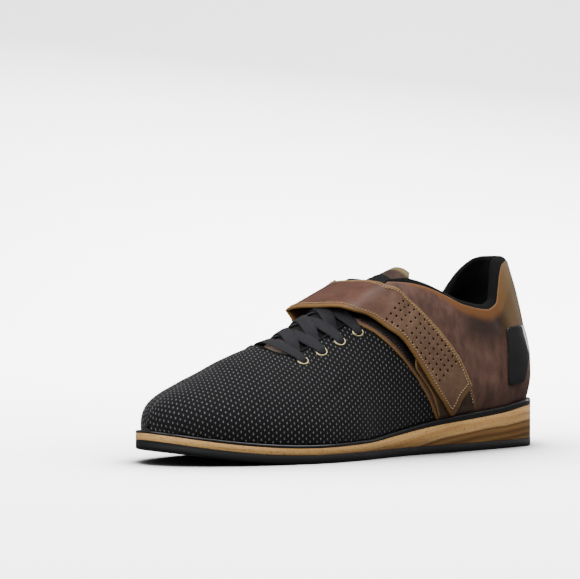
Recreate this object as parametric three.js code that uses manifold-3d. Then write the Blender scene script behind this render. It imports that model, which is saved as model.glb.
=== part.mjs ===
// A left weightlifting shoe with a stacked heel wedge, laces and an instep strap.
// Millimetres, +X to the toe, +Y to the outer (lateral) side, +Z up.
// The origin is on the floor, in the middle of the sole's length and breadth.

import * as THREE from 'three';
import { mergeVertices } from 'three/addons/utils/BufferGeometryUtils.js';
import Module from 'manifold-3d';

const wasm = await Module();
wasm.setup();

const { clamp, lerp, smoothstep } = THREE.MathUtils;

// Sole sizes
const shoeLength = 300;
const ballLateral = 61.2;
const ballMedial = 45.3;
const toeSpring = 9.5;
const springStart = 0.7;
const outsoleThickness = 5.2;
const outsoleBevel = 0.8;
const wedgeHeel = 22.4;
const randHeel = 3.8;
const randToe = 1.8;
const randBevel = 0.9;
const seam = 0.3;

// Upper sizes
const coneHeight = 134;
const collarHeight = 124;
const ledgeHeel = 0.8;
const ledgeToe = 2.3;
const upperWall = 2;
const quarterStep = 1.2;
const collarPad = 5.5;
const collarPadHeight = 30;
const toeRoundLength = 46;
const toeRoundPower = 2.5;
const tuckHeight = 18;
const archBulge = 11;
const archLift = 36;
const heelCurve = 10.4;

// Throat, tongue and lace sizes
const throatFront = 69;
const throatHalf = 20.5;
const throatRoundLength = 13;
const throatRoundPower = 2.4;
const eyeletMargin = 6;
const eyeletRadius = 3.6;
const eyeletHole = 2.1;
const eyeletHeight = 0.7;
const eyeletSeat = 0.45;
const eyeletPairs = 4;
const firstEyelet = 53;
const eyeletPitch = 14.2;
const tongueThickness = 3.4;
const tongueFront = 80;
const tongueBack = -46;
const tongueHeight = 119;
const tongueBlend = 14;
const insoleThickness = 3;
const laceWidth = 8;
const laceThickness = 1.1;
const labelThickness = 0.7;

// Strap sizes
const strapThickness = 2.4;
const padThickness = 1;
const strapCrestHeight = 106.5;
const strapCrestSlope = 0.47;
const strapBridgePower = 2.9;
const bridgeStart = 0.22;
const bridgeFull = 0.44;
const patchThickness = 0.9;

// The heel-to-toe line lies to the medial side of the middle, so that the ball is centred on Y = 0
const axisY = (ballMedial - ballLateral) / 2;

// Steps of the meshes
const lengthSteps = 44;
const roundSteps = 11;
const middleCloser = 0.22;

// Half widths of the sole, as shares of the two ball half widths, from the heel (0) to the toe (1)
const soleOutline = [
  { share: 0, lateral: 0, medial: 0 },
  { share: 0.02, lateral: 0.373, medial: 0.504 },
  { share: 0.06, lateral: 0.537, medial: 0.749 },
  { share: 0.12, lateral: 0.608, medial: 0.855 },
  { share: 0.2, lateral: 0.662, medial: 0.802 },
  { share: 0.3, lateral: 0.711, medial: 0.606 },
  { share: 0.38, lateral: 0.735, medial: 0.499 },
  { share: 0.45, lateral: 0.784, medial: 0.462 },
  { share: 0.52, lateral: 0.859, medial: 0.6 },
  { share: 0.6, lateral: 0.96, medial: 0.831 },
  { share: 0.68, lateral: 1, medial: 0.985 },
  { share: 0.76, lateral: 0.948, medial: 1 },
  { share: 0.84, lateral: 0.827, medial: 0.926 },
  { share: 0.91, lateral: 0.65, medial: 0.781 },
  { share: 0.96, lateral: 0.461, medial: 0.587 },
  { share: 0.99, lateral: 0.233, medial: 0.31 },
  { share: 1, lateral: 0, medial: 0 },
];

// Thickness of the wedge as a share of its heel, and how far the rand has grown from toe to heel
const soleProfile = [
  { share: 0, wedge: 1, rand: 1 },
  { share: 0.05, wedge: 0.98, rand: 1 },
  { share: 0.14, wedge: 0.82, rand: 1 },
  { share: 0.23, wedge: 0.71, rand: 1 },
  { share: 0.33, wedge: 0.6, rand: 0.8 },
  { share: 0.41, wedge: 0.48, rand: 0.45 },
  { share: 0.47, wedge: 0.38, rand: 0.2 },
  { share: 0.57, wedge: 0.24, rand: 0 },
  { share: 0.72, wedge: 0.2, rand: 0 },
  { share: 1, wedge: 0.2, rand: 0 },
];

// Crest of the last as a share of the cone height, its sideways place in mm as a share of the ball,
// and how square each side of the section is
const lastSections = [
  { share: 0, crest: 1, ridge: 0, lateral: 2, medial: 2 },
  { share: 0.2, crest: 1, ridge: 0.03, lateral: 2, medial: 2 },
  { share: 0.35, crest: 0.99, ridge: 0.06, lateral: 2, medial: 2.1 },
  { share: 0.43, crest: 0.95, ridge: 0.09, lateral: 1.95, medial: 2.2 },
  { share: 0.48, crest: 0.82, ridge: 0.095, lateral: 1.9, medial: 2.2 },
  { share: 0.55, crest: 0.7, ridge: 0.09, lateral: 1.8, medial: 2 },
  { share: 0.6, crest: 0.642, ridge: 0.085, lateral: 1.7, medial: 1.85 },
  { share: 0.67, crest: 0.563, ridge: 0.07, lateral: 1.6, medial: 1.7 },
  { share: 0.74, crest: 0.518, ridge: 0.05, lateral: 1.65, medial: 1.75 },
  { share: 0.8, crest: 0.468, ridge: 0.02, lateral: 1.8, medial: 1.85 },
  { share: 0.86, crest: 0.405, ridge: -0.01, lateral: 2, medial: 2 },
  { share: 0.92, crest: 0.365, ridge: -0.03, lateral: 2.2, medial: 2.2 },
  { share: 1, crest: 0.35, ridge: -0.04, lateral: 2.3, medial: 2.3 },
];

// Top edge of the collar from the back of the heel to the throat, as a share of the collar height
const toplineRows = [
  { share: -0.1, height: 0.985 },
  { share: 0.02, height: 1 },
  { share: 0.05, height: 0.985 },
  { share: 0.08, height: 0.93 },
  { share: 0.108, height: 0.845 },
  { share: 0.13, height: 0.774 },
  { share: 0.165, height: 0.747 },
  { share: 0.24, height: 0.774 },
  { share: 0.29, height: 0.822 },
  { share: 0.34, height: 0.868 },
  { share: 0.385, height: 0.892 },
  { share: 0.43, height: 0.9 },
];

// Front edge of the leather quarter, from the sole up to the throat, as shares of length and cone height
const quarterEdge = [
  { share: 0.335, height: 0.1 },
  { share: 0.346, height: 0.17 },
  { share: 0.37, height: 0.257 },
  { share: 0.398, height: 0.35 },
  { share: 0.431, height: 0.437 },
  { share: 0.468, height: 0.523 },
  { share: 0.498, height: 0.585 },
  { share: 0.524, height: 0.622 },
  { share: 0.552, height: 0.68 },
  { share: 0.575, height: 0.8 },
];

// Forward lean of the heel's back at each height, as shares of the cone height and of the heel curve
const heelBack = [
  { share: 0, lean: 0 },
  { share: 0.45, lean: 0 },
  { share: 0.58, lean: 0.36 },
  { share: 0.67, lean: 0.55 },
  { share: 0.77, lean: 0.76 },
  { share: 0.88, lean: 1 },
  { share: 1.1, lean: 1.3 },
];

// Front and rear edge of the strap as shares of the shoe's length; around runs from the lateral
// base (0) over the crest (0.5) to the medial base (1)
const strapRows = [
  { share: 0, front: 0.305, rear: 0.2 },
  { share: 0.05, front: 0.36, rear: 0.2565 },
  { share: 0.1, front: 0.4, rear: 0.2865 },
  { share: 0.15, front: 0.434, rear: 0.329 },
  { share: 0.2, front: 0.464, rear: 0.374 },
  { share: 0.25, front: 0.49, rear: 0.414 },
  { share: 0.3, front: 0.517, rear: 0.44 },
  { share: 0.35, front: 0.549, rear: 0.456 },
  { share: 0.4, front: 0.568, rear: 0.462 },
  { share: 0.5, front: 0.585, rear: 0.471 },
  { share: 0.6, front: 0.585, rear: 0.458 },
  { share: 0.7, front: 0.572, rear: 0.442 },
  { share: 0.8, front: 0.548, rear: 0.426 },
  { share: 1, front: 0.5, rear: 0.4 },
];

// The strap's slanted free end: how far around it starts, from its front edge (0) to its rear (1)
const strapTip = [
  { share: 0, around: 0.026 },
  { share: 0.15, around: 0.011 },
  { share: 0.35, around: 0.01 },
  { share: 0.7, around: 0.027 },
  { share: 0.92, around: 0.041 },
  { share: 1, around: 0.055 },
];
const strapMedialEnd = 0.985;

// Landing pad under the strap's free end
const padRows = [
  { share: 0.008, front: 0.347, rear: 0.232 },
  { share: 0.05, front: 0.369, rear: 0.255 },
  { share: 0.09, front: 0.4, rear: 0.3 },
  { share: 0.108, front: 0.411, rear: 0.318 },
  { share: 0.14, front: 0.405, rear: 0.335 },
  { share: 0.2, front: 0.415, rear: 0.38 },
];

// Plain patch on the lateral side of the heel
const patchRows = [
  { share: 0.037, front: 0.123, rear: 0.08 },
  { share: 0.047, front: 0.13, rear: 0.07 },
  { share: 0.142, front: 0.116, rear: 0.042 },
  { share: 0.152, front: 0.108, rear: 0.05 },
];

// Half width of the tongue as a share of its widest, from its back (0) to its front (1)
const tongueRows = [
  { share: 0, half: 0.42 },
  { share: 0.03, half: 0.55 },
  { share: 0.1, half: 0.66 },
  { share: 0.25, half: 0.82 },
  { share: 0.45, half: 0.98 },
  { share: 0.7, half: 1 },
  { share: 1, half: 0.93 },
];
const tongueHalf = 27;

// Reads one column of a table smoothly, with no overshoot between its rows
function column(rows, key, place = (share) => share) {
  const xs = rows.map((row) => place(row.share));
  const ys = rows.map((row) => row[key]);
  const slopes = ys.slice(1).map((y, i) => (y - ys[i]) / (xs[i + 1] - xs[i]));
  const tangents = ys.map((y, i) => {
    const before = slopes[Math.max(i - 1, 0)];
    const after = slopes[Math.min(i, slopes.length - 1)];
    return before * after <= 0 ? 0 : (2 * before * after) / (before + after);
  });
  return (share) => {
    const x = clamp(place(share), xs[0], xs.at(-1));
    const i = clamp(xs.findIndex((right) => right >= x) - 1, 0, xs.length - 2);
    const gap = xs[i + 1] - xs[i];
    const u = (x - xs[i]) / gap;
    const rise = (3 - 2 * u) * u * u;
    return (
      ys[i] * (1 - rise) +
      ys[i + 1] * rise +
      gap * u * (1 - u) * ((1 - u) * tangents[i] - u * tangents[i + 1])
    );
  };
}

// The round ends of the outline need fine steps, so its stations are spread like a cosine
const stationOf = (share) => Math.acos(1 - 2 * clamp(share, 0, 1)) / Math.PI;
const shareOf = (station) => (1 - Math.cos(Math.PI * station)) / 2;
const xOf = (share) => (share - 0.5) * shoeLength;
const shareAtX = (x) => x / shoeLength + 0.5;

const outlineLateral = column(soleOutline, 'lateral', stationOf);
const outlineMedial = column(soleOutline, 'medial', stationOf);
const wedgeShare = column(soleProfile, 'wedge');
const randShare = column(soleProfile, 'rand');
const crestShare = column(lastSections, 'crest');
const ridgeShare = column(lastSections, 'ridge');
const powerLateral = column(lastSections, 'lateral');
const powerMedial = column(lastSections, 'medial');
const toplineShare = column(toplineRows, 'height');
const heelLean = column(heelBack, 'lean');
const strapFront = column(strapRows, 'front');
const strapRear = column(strapRows, 'rear');
const strapEnd = column(strapTip, 'around');
const tongueWidth = column(tongueRows, 'half');

// A point of the sole's outline; side is 1 for lateral and -1 for medial
function outlinePoint(station, side) {
  const mirrored = station < 0 || station > 1 ? -side : side;
  const inside = station < 0 ? -station : station > 1 ? 2 - station : station;
  const share = shareOf(inside);
  const half = mirrored > 0 ? ballLateral * outlineLateral(share) : ballMedial * outlineMedial(share);
  return new THREE.Vector2(xOf(share), axisY + mirrored * half);
}

// The outline's outward direction, from the points just before and after
function outlineNormal(station, side) {
  const step = 0.004;
  const along = outlinePoint(station + step, side).sub(outlinePoint(station - step, side));
  return new THREE.Vector2(-along.y, along.x).multiplyScalar(side).normalize();
}

function insetPoint(station, side, inset) {
  return outlinePoint(station, side).addScaledVector(outlineNormal(station, side), -inset);
}

// Mesh stations from heel to toe: a little closer along the middle than the cosine alone gives
function meshStation(i) {
  const even = i / lengthSteps;
  return even + (middleCloser * Math.sin(2 * Math.PI * even)) / (2 * Math.PI);
}

// Heights of the sole's layers at a share of the length
const springHeight = (share) => toeSpring * (Math.max(share - springStart, 0) / (1 - springStart)) ** 2;
const wedgeBottom = (share) => springHeight(share) + outsoleThickness;
const wedgeTop = (share) => wedgeBottom(share) + wedgeHeel * wedgeShare(share);
const randTop = (share) => wedgeTop(share) + lerp(randToe, randHeel, randShare(share));

// Closed geometry from a grid of rings, each a closed loop of points, with its degenerate faces dropped
function ringsGeometry(rings, capped) {
  const count = rings[0].length;
  const positions = rings.flat().flatMap((point) => [point.x, point.y, point.z]);
  const faces = [];
  for (let i = 0; i < rings.length - 1; i += 1) {
    for (let j = 0; j < count; j += 1) {
      const next = (j + 1) % count;
      const corners = [i * count + j, i * count + next, (i + 1) * count + next, (i + 1) * count + j];
      faces.push([corners[0], corners[1], corners[2]], [corners[0], corners[2], corners[3]]);
    }
  }
  if (capped) {
    const last = (rings.length - 1) * count;
    for (let j = 0; j < count / 2 - 1; j += 1) {
      const [a, b, c, d] = [j, j + 1, count - 2 - j, count - 1 - j];
      faces.push([c, b, a], [d, c, a]);
      faces.push([last + a, last + b, last + c], [last + a, last + c, last + d]);
    }
  }
  return closedGeometry(positions, faces);
}

// Merges shared corners, drops faces that collapsed and turns the faces outwards
function closedGeometry(positions, faces) {
  const geometry = new THREE.BufferGeometry();
  geometry.setAttribute('position', new THREE.Float32BufferAttribute(positions, 3));
  geometry.setIndex(faces.flat());
  const merged = mergeVertices(geometry, 1e-4);
  const index = Array.from(merged.index.array);
  const kept = [];
  for (let i = 0; i < index.length; i += 3) {
    const [a, b, c] = index.slice(i, i + 3);
    if (a !== b && b !== c && c !== a) kept.push(a, b, c);
  }
  merged.setIndex(kept);
  if (signedVolume(merged) < 0) merged.setIndex(kept.reverse());
  return merged;
}

function signedVolume(geometry) {
  const position = geometry.attributes.position;
  const index = geometry.index.array;
  const corner = (i) => new THREE.Vector3().fromBufferAttribute(position, index[i]);
  let volume = 0;
  for (let i = 0; i < index.length; i += 3) {
    volume += corner(i).dot(corner(i + 1).cross(corner(i + 2)));
  }
  return volume / 6;
}

// From geometry to a solid that can be joined and cut, and back
function solidOf(geometry) {
  const bare = geometry.clone();
  bare.deleteAttribute('normal');
  bare.deleteAttribute('uv');
  const merged = mergeVertices(bare, 1e-4);
  const triVerts = new Uint32Array(merged.index.array);
  const vertProperties = new Float32Array(merged.attributes.position.array);
  return new wasm.Manifold(new wasm.Mesh({ numProp: 3, vertProperties, triVerts }));
}

function geometryOf(solid) {
  const mesh = solid.getMesh();
  const geometry = new THREE.BufferGeometry();
  geometry.setAttribute('position', new THREE.BufferAttribute(mesh.vertProperties, 3));
  geometry.setIndex(new THREE.BufferAttribute(mesh.triVerts, 1));
  return geometry;
}

// A layer of the sole: rows of one inset and one height function each, from its bottom to its top
function soleLayer(rows) {
  const rings = rows.map(({ inset, height }) => {
    const loop = [];
    for (const side of [1, -1]) {
      for (let i = 0; i <= lengthSteps; i += 1) {
        const station = meshStation(side > 0 ? i : lengthSteps - i);
        const { x, y } = insetPoint(station, side, inset(shareOf(station)));
        loop.push(new THREE.Vector3(x, y, height(shareAtX(x))));
      }
    }
    return loop;
  });
  return ringsGeometry(rings, true);
}

const ledge = (share) => lerp(ledgeHeel, ledgeToe, smoothstep(share, 0.2, 0.6));
const tuck = (share) => lerp(3.2, 0.9, smoothstep(share, 0.15, 0.5));
const upperCrest = (share) => coneHeight * crestShare(share);
const topline = (share) => collarHeight * toplineShare(share);
const ridgeY = (share) => axisY + ballLateral * ridgeShare(share);
const upperPower = (share, side) => (side > 0 ? powerLateral(share) : powerMedial(share));

// How far the arch side of the upper stands out over the narrow waist of the sole
function archOut(share, side) {
  return side > 0 ? 0 : archBulge * Math.exp(-(((share - 0.46) / 0.11) ** 2));
}

// The widest line of the upper in plan: the sole's outline, in by the ledge and out over the arch
function sideEdge(station, side, inset) {
  const share = shareOf(station);
  return insetPoint(station, side, ledge(share) + inset - archOut(share, side));
}

// A point on a form that follows the last. round runs from the base (0) to the crest (1) of one side;
// inset is how far the form lies inside the upper's outer face
function lastPoint(station, side, round, form) {
  const { inset = 0, crest = upperCrest, power = upperPower, padded = false } = form;
  const outward = outlineNormal(station, side);
  const base = sideEdge(station, side, inset);
  const share = shareAtX(base.x);
  const floor = randTop(share) + seam;
  const tip = shoeLength / 2 - ledgeToe - inset;
  const toeShare = clamp((base.x - tip + toeRoundLength) / toeRoundLength, 0, 1);
  const toeRound = Math.max(1 - toeShare ** toeRoundPower, 0) ** (1 / toeRoundPower);
  const height = (crest(share) - inset - floor) * toeRound;
  const angle = (round * Math.PI) / 2;
  const exponent = 2 / power(share, side);
  const across = Math.max(Math.cos(angle), 0) ** exponent;
  const lift = height * Math.sin(angle) ** exponent;
  const ridge = ridgeY(share);
  const point = new THREE.Vector3(base.x, ridge + (base.y - ridge) * across, floor + lift);
  const tuckIn = tuck(share) * Math.max(1 - lift / tuckHeight, 0) ** 2;
  const archIn = archOut(share, side) * Math.max(1 - lift / archLift, 0) ** 1.5;
  let out = -(tuckIn + archIn) * Math.min(across * 1.5, 1);
  if (padded) out -= collarPadAt(share, point.z);
  point.x += outward.x * out;
  point.y += outward.y * out;
  const heelWeight = smoothstep(0.3 - share, 0, 0.3);
  point.x += heelCurve * heelLean(point.z / coneHeight) * heelWeight;
  return point;
}

// Extra thickness of the padded collar just below the topline
function collarPadAt(share, z) {
  const below = topline(share) - z;
  const near = 1 - smoothstep(below, collarPadHeight * 0.3, collarPadHeight);
  return collarPad * near * (1 - smoothstep(share, 0.3, 0.38));
}

// A closed body of the whole last form, extended below the sole's top by drop
function lastBody(form, drop) {
  const rings = [];
  for (let i = 0; i <= lengthSteps; i += 1) {
    const station = meshStation(i);
    const loop = [];
    for (const side of [1, -1]) {
      const half = [];
      for (let j = 0; j <= roundSteps; j += 1) {
        half.push(lastPoint(station, side, (j / roundSteps) ** 1.1, form));
      }
      const foot = half[0].clone();
      foot.z -= drop;
      half.unshift(foot);
      loop.push(...(side > 0 ? half : half.reverse()));
    }
    rings.push(loop);
  }
  return ringsGeometry(rings, false);
}

// A cutter seen from the side: points are [x, z] and it runs through the whole breadth
function sideCutter(points) {
  const breadth = 2 * (ballLateral + ballMedial);
  const shape = new THREE.Shape(points.map(([x, z]) => new THREE.Vector2(x, z)));
  const geometry = new THREE.ExtrudeGeometry(shape, { depth: breadth, bevelEnabled: false });
  geometry.rotateX(Math.PI / 2);
  geometry.translate(0, breadth / 2, 0);
  return solidOf(geometry);
}

const sky = coneHeight * 1.5;
const beyond = shoeLength * 0.6;
const cutterDepth = 20;
const cavityDrop = 8;

// Everything above the topline
function collarCutter() {
  const front = toplineRows.at(-1).share;
  const edge = [];
  for (let i = 0; i <= 40; i += 1) {
    const share = lerp(toplineRows[0].share, front, i / 40);
    edge.push([xOf(share), topline(share)]);
  }
  return sideCutter([...edge, [xOf(front) + 4, sky], [-beyond, sky]]);
}

// Everything behind the quarter's front edge
function quarterCutter() {
  const edge = quarterEdge.map(({ share, height }) => [xOf(share), coneHeight * height]);
  const top = edge.at(-1)[0];
  const floor = -cutterDepth;
  return sideCutter([[-beyond, floor], [edge[0][0], floor], ...edge, [top, sky], [-beyond, sky]]);
}

// The throat: a slot along the crest, round in front
function throatHalfAt(x) {
  const into = clamp((throatFront - x) / throatRoundLength, 0, 1);
  return throatHalf * Math.max(1 - (1 - into) ** throatRoundPower, 0) ** (1 / throatRoundPower);
}

function throatCutter() {
  const back = xOf(0.36);
  const sides = { 1: [], [-1]: [] };
  const steps = 22;
  for (let i = 0; i <= steps; i += 1) {
    const x = lerp(throatFront, back, (i / steps) ** 1.8);
    for (const side of [1, -1]) {
      sides[side].push(new THREE.Vector2(x, ridgeY(shareAtX(x)) + side * throatHalfAt(x)));
    }
  }
  const shape = new THREE.Shape([...sides[1], ...sides[-1].reverse().slice(0, -1)]);
  const geometry = new THREE.ExtrudeGeometry(shape, { depth: sky, bevelEnabled: false });
  geometry.translate(0, 0, collarHeight * 0.3);
  return solidOf(geometry);
}

// The crest side of the upper at a plan position: its height there and its outward normal
function surfaceHeight(x, y, form = {}) {
  const { inset = 0, crest = upperCrest, power = upperPower } = form;
  const share = shareAtX(x);
  const side = y >= ridgeY(share) ? 1 : -1;
  const edge = sideEdge(stationOf(share), side, inset);
  const floor = randTop(share) + seam;
  const across = clamp((y - ridgeY(share)) / (edge.y - ridgeY(share)), 0, 0.999);
  const exponent = power(share, side);
  return floor + (crest(share) - inset - floor) * (1 - across ** exponent) ** (1 / exponent);
}

function surfaceNormal(x, y) {
  const step = 1.5;
  const alongX = (surfaceHeight(x + step, y) - surfaceHeight(x - step, y)) / (2 * step);
  const alongY = (surfaceHeight(x, y + step) - surfaceHeight(x, y - step)) / (2 * step);
  return new THREE.Vector3(-alongX, -alongY, 1).normalize();
}

// Eyelet places, front to back
function eyeletPlace(pair, side) {
  const x = firstEyelet - eyeletPitch * pair;
  const y = ridgeY(shareAtX(x)) + side * (throatHalf + eyeletMargin);
  return new THREE.Vector3(x, y, surfaceHeight(x, y));
}

function eyeletHoles() {
  const holes = [];
  for (let pair = 0; pair < eyeletPairs; pair += 1) {
    for (const side of [1, -1]) {
      const place = eyeletPlace(pair, side);
      const geometry = new THREE.CylinderGeometry(eyeletHole, eyeletHole, 6 * upperWall, 10);
      const turn = new THREE.Quaternion();
      turn.setFromUnitVectors(new THREE.Vector3(0, 1, 0), surfaceNormal(place.x, place.y));
      geometry.applyQuaternion(turn);
      geometry.translate(place.x, place.y, place.z);
      holes.push(solidOf(geometry));
    }
  }
  return holes;
}

// The upper: a hollow form with a thicker leather quarter, open at collar, throat and underneath
function upperGeometry() {
  const vamp = solidOf(lastBody({}, 0));
  const quarter = solidOf(lastBody({ inset: -quarterStep }, 0)).intersect(quarterCutter());
  let solid = vamp.add(quarter);
  solid = solid.subtract(solidOf(lastBody({ inset: upperWall, padded: true }, cavityDrop)));
  solid = solid.subtract(collarCutter());
  solid = solid.subtract(throatCutter());
  for (const hole of eyeletHoles()) solid = solid.subtract(hole);
  return geometryOf(solid);
}

// A sheet with two faces on a grid of points: outer and inner are functions of along and across
function sheetGeometry(outer, inner, alongSteps, acrossSteps) {
  const rings = [];
  for (let i = 0; i <= alongSteps; i += 1) {
    const loop = [];
    for (let j = 0; j <= acrossSteps; j += 1) loop.push(outer(i / alongSteps, j / acrossSteps));
    for (let j = acrossSteps; j >= 0; j -= 1) loop.push(inner(i / alongSteps, j / acrossSteps));
    rings.push(loop);
  }
  return ringsGeometry(rings, true);
}

// The tongue follows the last just under the upper, and leaves it towards its free top end
const tongueTopInset = upperWall + 1;
function tongueCrest(share) {
  const x = xOf(share);
  const under = upperCrest(share) - tongueTopInset;
  const rear = x > 0 ? 0 : clamp(x / tongueBack, 0, 1);
  const own = lerp(upperCrest(shareAtX(0)) - tongueTopInset - 2, tongueHeight, rear ** 0.8);
  return x > tongueBlend ? under : lerp(own, under, smoothstep(x, 0, tongueBlend));
}

function tonguePoint(along, across, depth) {
  const x = lerp(tongueBack, tongueFront, along);
  const share = shareAtX(x);
  const half = tongueHalf * tongueWidth(along);
  const y = ridgeY(share) + lerp(half, -half, across);
  const flatter = lerp(1, 0.6, smoothstep(-x, 0, -tongueBack));
  const crest = tongueCrest(share);
  const full = surfaceHeight(x, y, { inset: tongueTopInset, crest: (s) => tongueCrest(s) + tongueTopInset });
  return new THREE.Vector3(x, y, crest - (crest - full) * flatter - depth);
}

function tongueGeometry() {
  const top = (along, across) => tonguePoint(along, across, 0);
  const bottom = (along, across) => tonguePoint(along, across, tongueThickness);
  return sheetGeometry(top, bottom, 18, 6);
}

// The label lies on the tongue just below its top edge
function labelGeometry() {
  const from = (along, across, rise) => {
    const point = tonguePoint(lerp(0.05, 0.16, along), lerp(0.2, 0.8, across), 0);
    point.z += rise;
    return point;
  };
  const top = (along, across) => from(along, across, seam + labelThickness);
  const bottom = (along, across) => from(along, across, seam);
  return sheetGeometry(top, bottom, 3, 6);
}

// The strap follows a form of its own that bridges the laces and lies on the quarter further down
const padLevel = quarterStep + seam + padThickness;
const strapLevel = padLevel + 2 * seam + strapThickness;
function strapCrest(share) {
  return Math.min(strapCrestHeight - strapCrestSlope * xOf(share), coneHeight) - strapLevel;
}

function patchPoint(share, around, form) {
  const side = around <= 0.5 ? 1 : -1;
  const round = side > 0 ? 2 * around : 2 - 2 * around;
  return lastPoint(stationOf(share), side, round, form);
}

// The strap lies on the quarter low down and bridges the throat on a form of its own
function strapPoint(share, around, { inset }) {
  const low = patchPoint(share, around, { inset });
  const high = patchPoint(share, around, { inset, crest: strapCrest, power: () => strapBridgePower });
  const bridging = smoothstep(0.5 - Math.abs(around - 0.5), bridgeStart, bridgeFull);
  return low.lerp(high, bridging);
}

// A leather piece that lies on the last form between two edges, from start to end around it
function piece(front, rear, start, end, level, thickness, pointAt, alongSteps, acrossSteps) {
  const face = (inset) => (along, across) => {
    const around = lerp(start(across), end, along);
    const share = lerp(front(around), rear(around), across);
    return pointAt(share, around, { inset });
  };
  return sheetGeometry(face(-level), face(-level + thickness), alongSteps, acrossSteps);
}

function strapGeometry() {
  const start = (across) => strapEnd(across);
  return piece(strapFront, strapRear, start, strapMedialEnd, strapLevel, strapThickness, strapPoint, 36, 4);
}

function padGeometry() {
  const front = column(padRows, 'front');
  const rear = column(padRows, 'rear');
  const start = () => padRows[0].share;
  return piece(front, rear, start, padRows.at(-1).share, padLevel, padThickness, patchPoint, 8, 4);
}

function patchGeometry() {
  const front = column(patchRows, 'front');
  const rear = column(patchRows, 'rear');
  const start = () => patchRows[0].share;
  const level = quarterStep + seam + patchThickness;
  return piece(front, rear, start, patchRows.at(-1).share, level, patchThickness, patchPoint, 6, 5);
}

// A flat strand of lace between two plan positions, at a lift above the upper's surface, bowed forward
function laceStrand(from, to, lift, bow = 0) {
  const direction = new THREE.Vector2(to.x - from.x, to.y - from.y).normalize();
  const sideways = new THREE.Vector2(-direction.y, direction.x);
  const face = (height) => (along, across) => {
    const offset = (across - 0.5) * laceWidth;
    const x = lerp(from.x, to.x, along) + sideways.x * offset + bow * Math.sin(Math.PI * along);
    const y = lerp(from.y, to.y, along) + sideways.y * offset;
    const point = new THREE.Vector3(x, y, surfaceHeight(x, y));
    return point.addScaledVector(surfaceNormal(x, y), height + lift(along));
  };
  return solidOf(sheetGeometry(face(laceThickness), face(0), 8, 2));
}

const laceLift = eyeletSeat + eyeletHeight + 2 * seam;
const laceSag = 1;
const barBow = 7;

// One bar between the front pair of eyelets and a crossing between each pair and the next
function lacesGeometry() {
  const level = (along) => laceLift - laceSag * Math.sin(Math.PI * along);
  const humped = (along) => level(along) + laceThickness * 0.8 * Math.sin(Math.PI * along);
  let solid = laceStrand(eyeletPlace(0, -1), eyeletPlace(0, 1), level, barBow);
  for (let pair = 0; pair < eyeletPairs - 1; pair += 1) {
    for (const side of [1, -1]) {
      const from = eyeletPlace(pair, side);
      from.y -= side * eyeletMargin * 1.2;
      const strand = laceStrand(from, eyeletPlace(pair + 1, -side), side > 0 ? humped : level);
      solid = solid.add(strand);
    }
  }
  return geometryOf(solid);
}

function eyeletGeometry() {
  const inner = eyeletHole + 0.3;
  const profile = [
    [inner, 0],
    [eyeletRadius, 0],
    [eyeletRadius, eyeletHeight * 0.4],
    [eyeletRadius - 0.5, eyeletHeight],
    [inner, eyeletHeight],
    [inner, 0],
  ];
  return new THREE.LatheGeometry(profile.map(([r, z]) => new THREE.Vector2(r, z)), 12);
}

const material = (color, roughness, metalness = 0) =>
  new THREE.MeshStandardMaterial({ color, roughness, metalness });

const materials = {
  rubber: material(0x1b1b1d, 0.75),
  wood: material(0xb98b58, 0.55),
  textile: material(0x222225, 0.9),
  leather: material(0x5c463f, 0.55),
  strapLeather: material(0x7a5b4d, 0.5),
  lining: material(0x161618, 0.95),
  lace: material(0x3a3a40, 0.85),
  brass: material(0xb8a872, 0.35, 1),
  gloss: material(0x141415, 0.2),
};

const shoe = new THREE.Group();

function place(name, geometry, finish) {
  const mesh = new THREE.Mesh(geometry, finish);
  mesh.name = name;
  shoe.add(mesh);
  return mesh;
}

const flush = () => 0;

function buildSole() {
  const outsoleRows = [
    { inset: () => outsoleBevel, height: springHeight },
    { inset: flush, height: (share) => springHeight(share) + outsoleBevel },
    { inset: flush, height: (share) => wedgeBottom(share) - seam },
  ];
  const wedgeRows = [
    { inset: flush, height: wedgeBottom },
    { inset: flush, height: (share) => wedgeTop(share) - seam },
  ];
  const randRows = [
    { inset: flush, height: wedgeTop },
    { inset: flush, height: (share) => randTop(share) - randBevel },
    { inset: () => randBevel, height: randTop },
  ];
  const insoleInset = (share) => ledge(share) + tuck(share) + upperWall + 2 * seam;
  const insoleRows = [
    { inset: insoleInset, height: (share) => randTop(share) + seam },
    { inset: insoleInset, height: (share) => randTop(share) + seam + insoleThickness },
  ];
  place('outsole', soleLayer(outsoleRows), materials.rubber);
  place('midsole', soleLayer(wedgeRows), materials.wood);
  place('rand', soleLayer(randRows), materials.rubber);
  place('insole', soleLayer(insoleRows), materials.lining);
}

function buildUpper() {
  place('upper', upperGeometry(), materials.textile);
  place('tongue', tongueGeometry(), materials.leather);
  place('tongue_label', labelGeometry(), materials.lining);
}

function buildStrap() {
  place('strap', strapGeometry(), materials.strapLeather);
  place('strap_pad', padGeometry(), materials.leather);
  place('heel_patch', patchGeometry(), materials.gloss);
}

function buildLacing() {
  place('laces', lacesGeometry(), materials.lace);
  for (let pair = 0; pair < eyeletPairs; pair += 1) {
    for (const side of [1, -1]) {
      const name = `eyelet_${side > 0 ? 'lateral' : 'medial'}_${pair + 1}`;
      const eyelet = place(name, eyeletGeometry(), materials.brass);
      const spot = eyeletPlace(pair, side);
      const normal = surfaceNormal(spot.x, spot.y);
      eyelet.position.copy(spot).addScaledVector(normal, eyeletSeat);
      eyelet.quaternion.setFromUnitVectors(new THREE.Vector3(0, 1, 0), normal);
    }
  }
}

buildSole();
buildUpper();
buildStrap();
buildLacing();

export default shoe;
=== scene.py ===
# %% [markdown]
# # A weightlifting shoe, dressed around its solids
# The solids give the size, the weight and what a floor touches. Every visible skin is made here:
# textile forefoot, waxed leather quarters, strap, laces, wooden wedge and rubber sole. Each skin is
# a function of two parameters, worked out as whole numpy arrays, so its edges and seams can follow
# the same last as the solids do.

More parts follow.
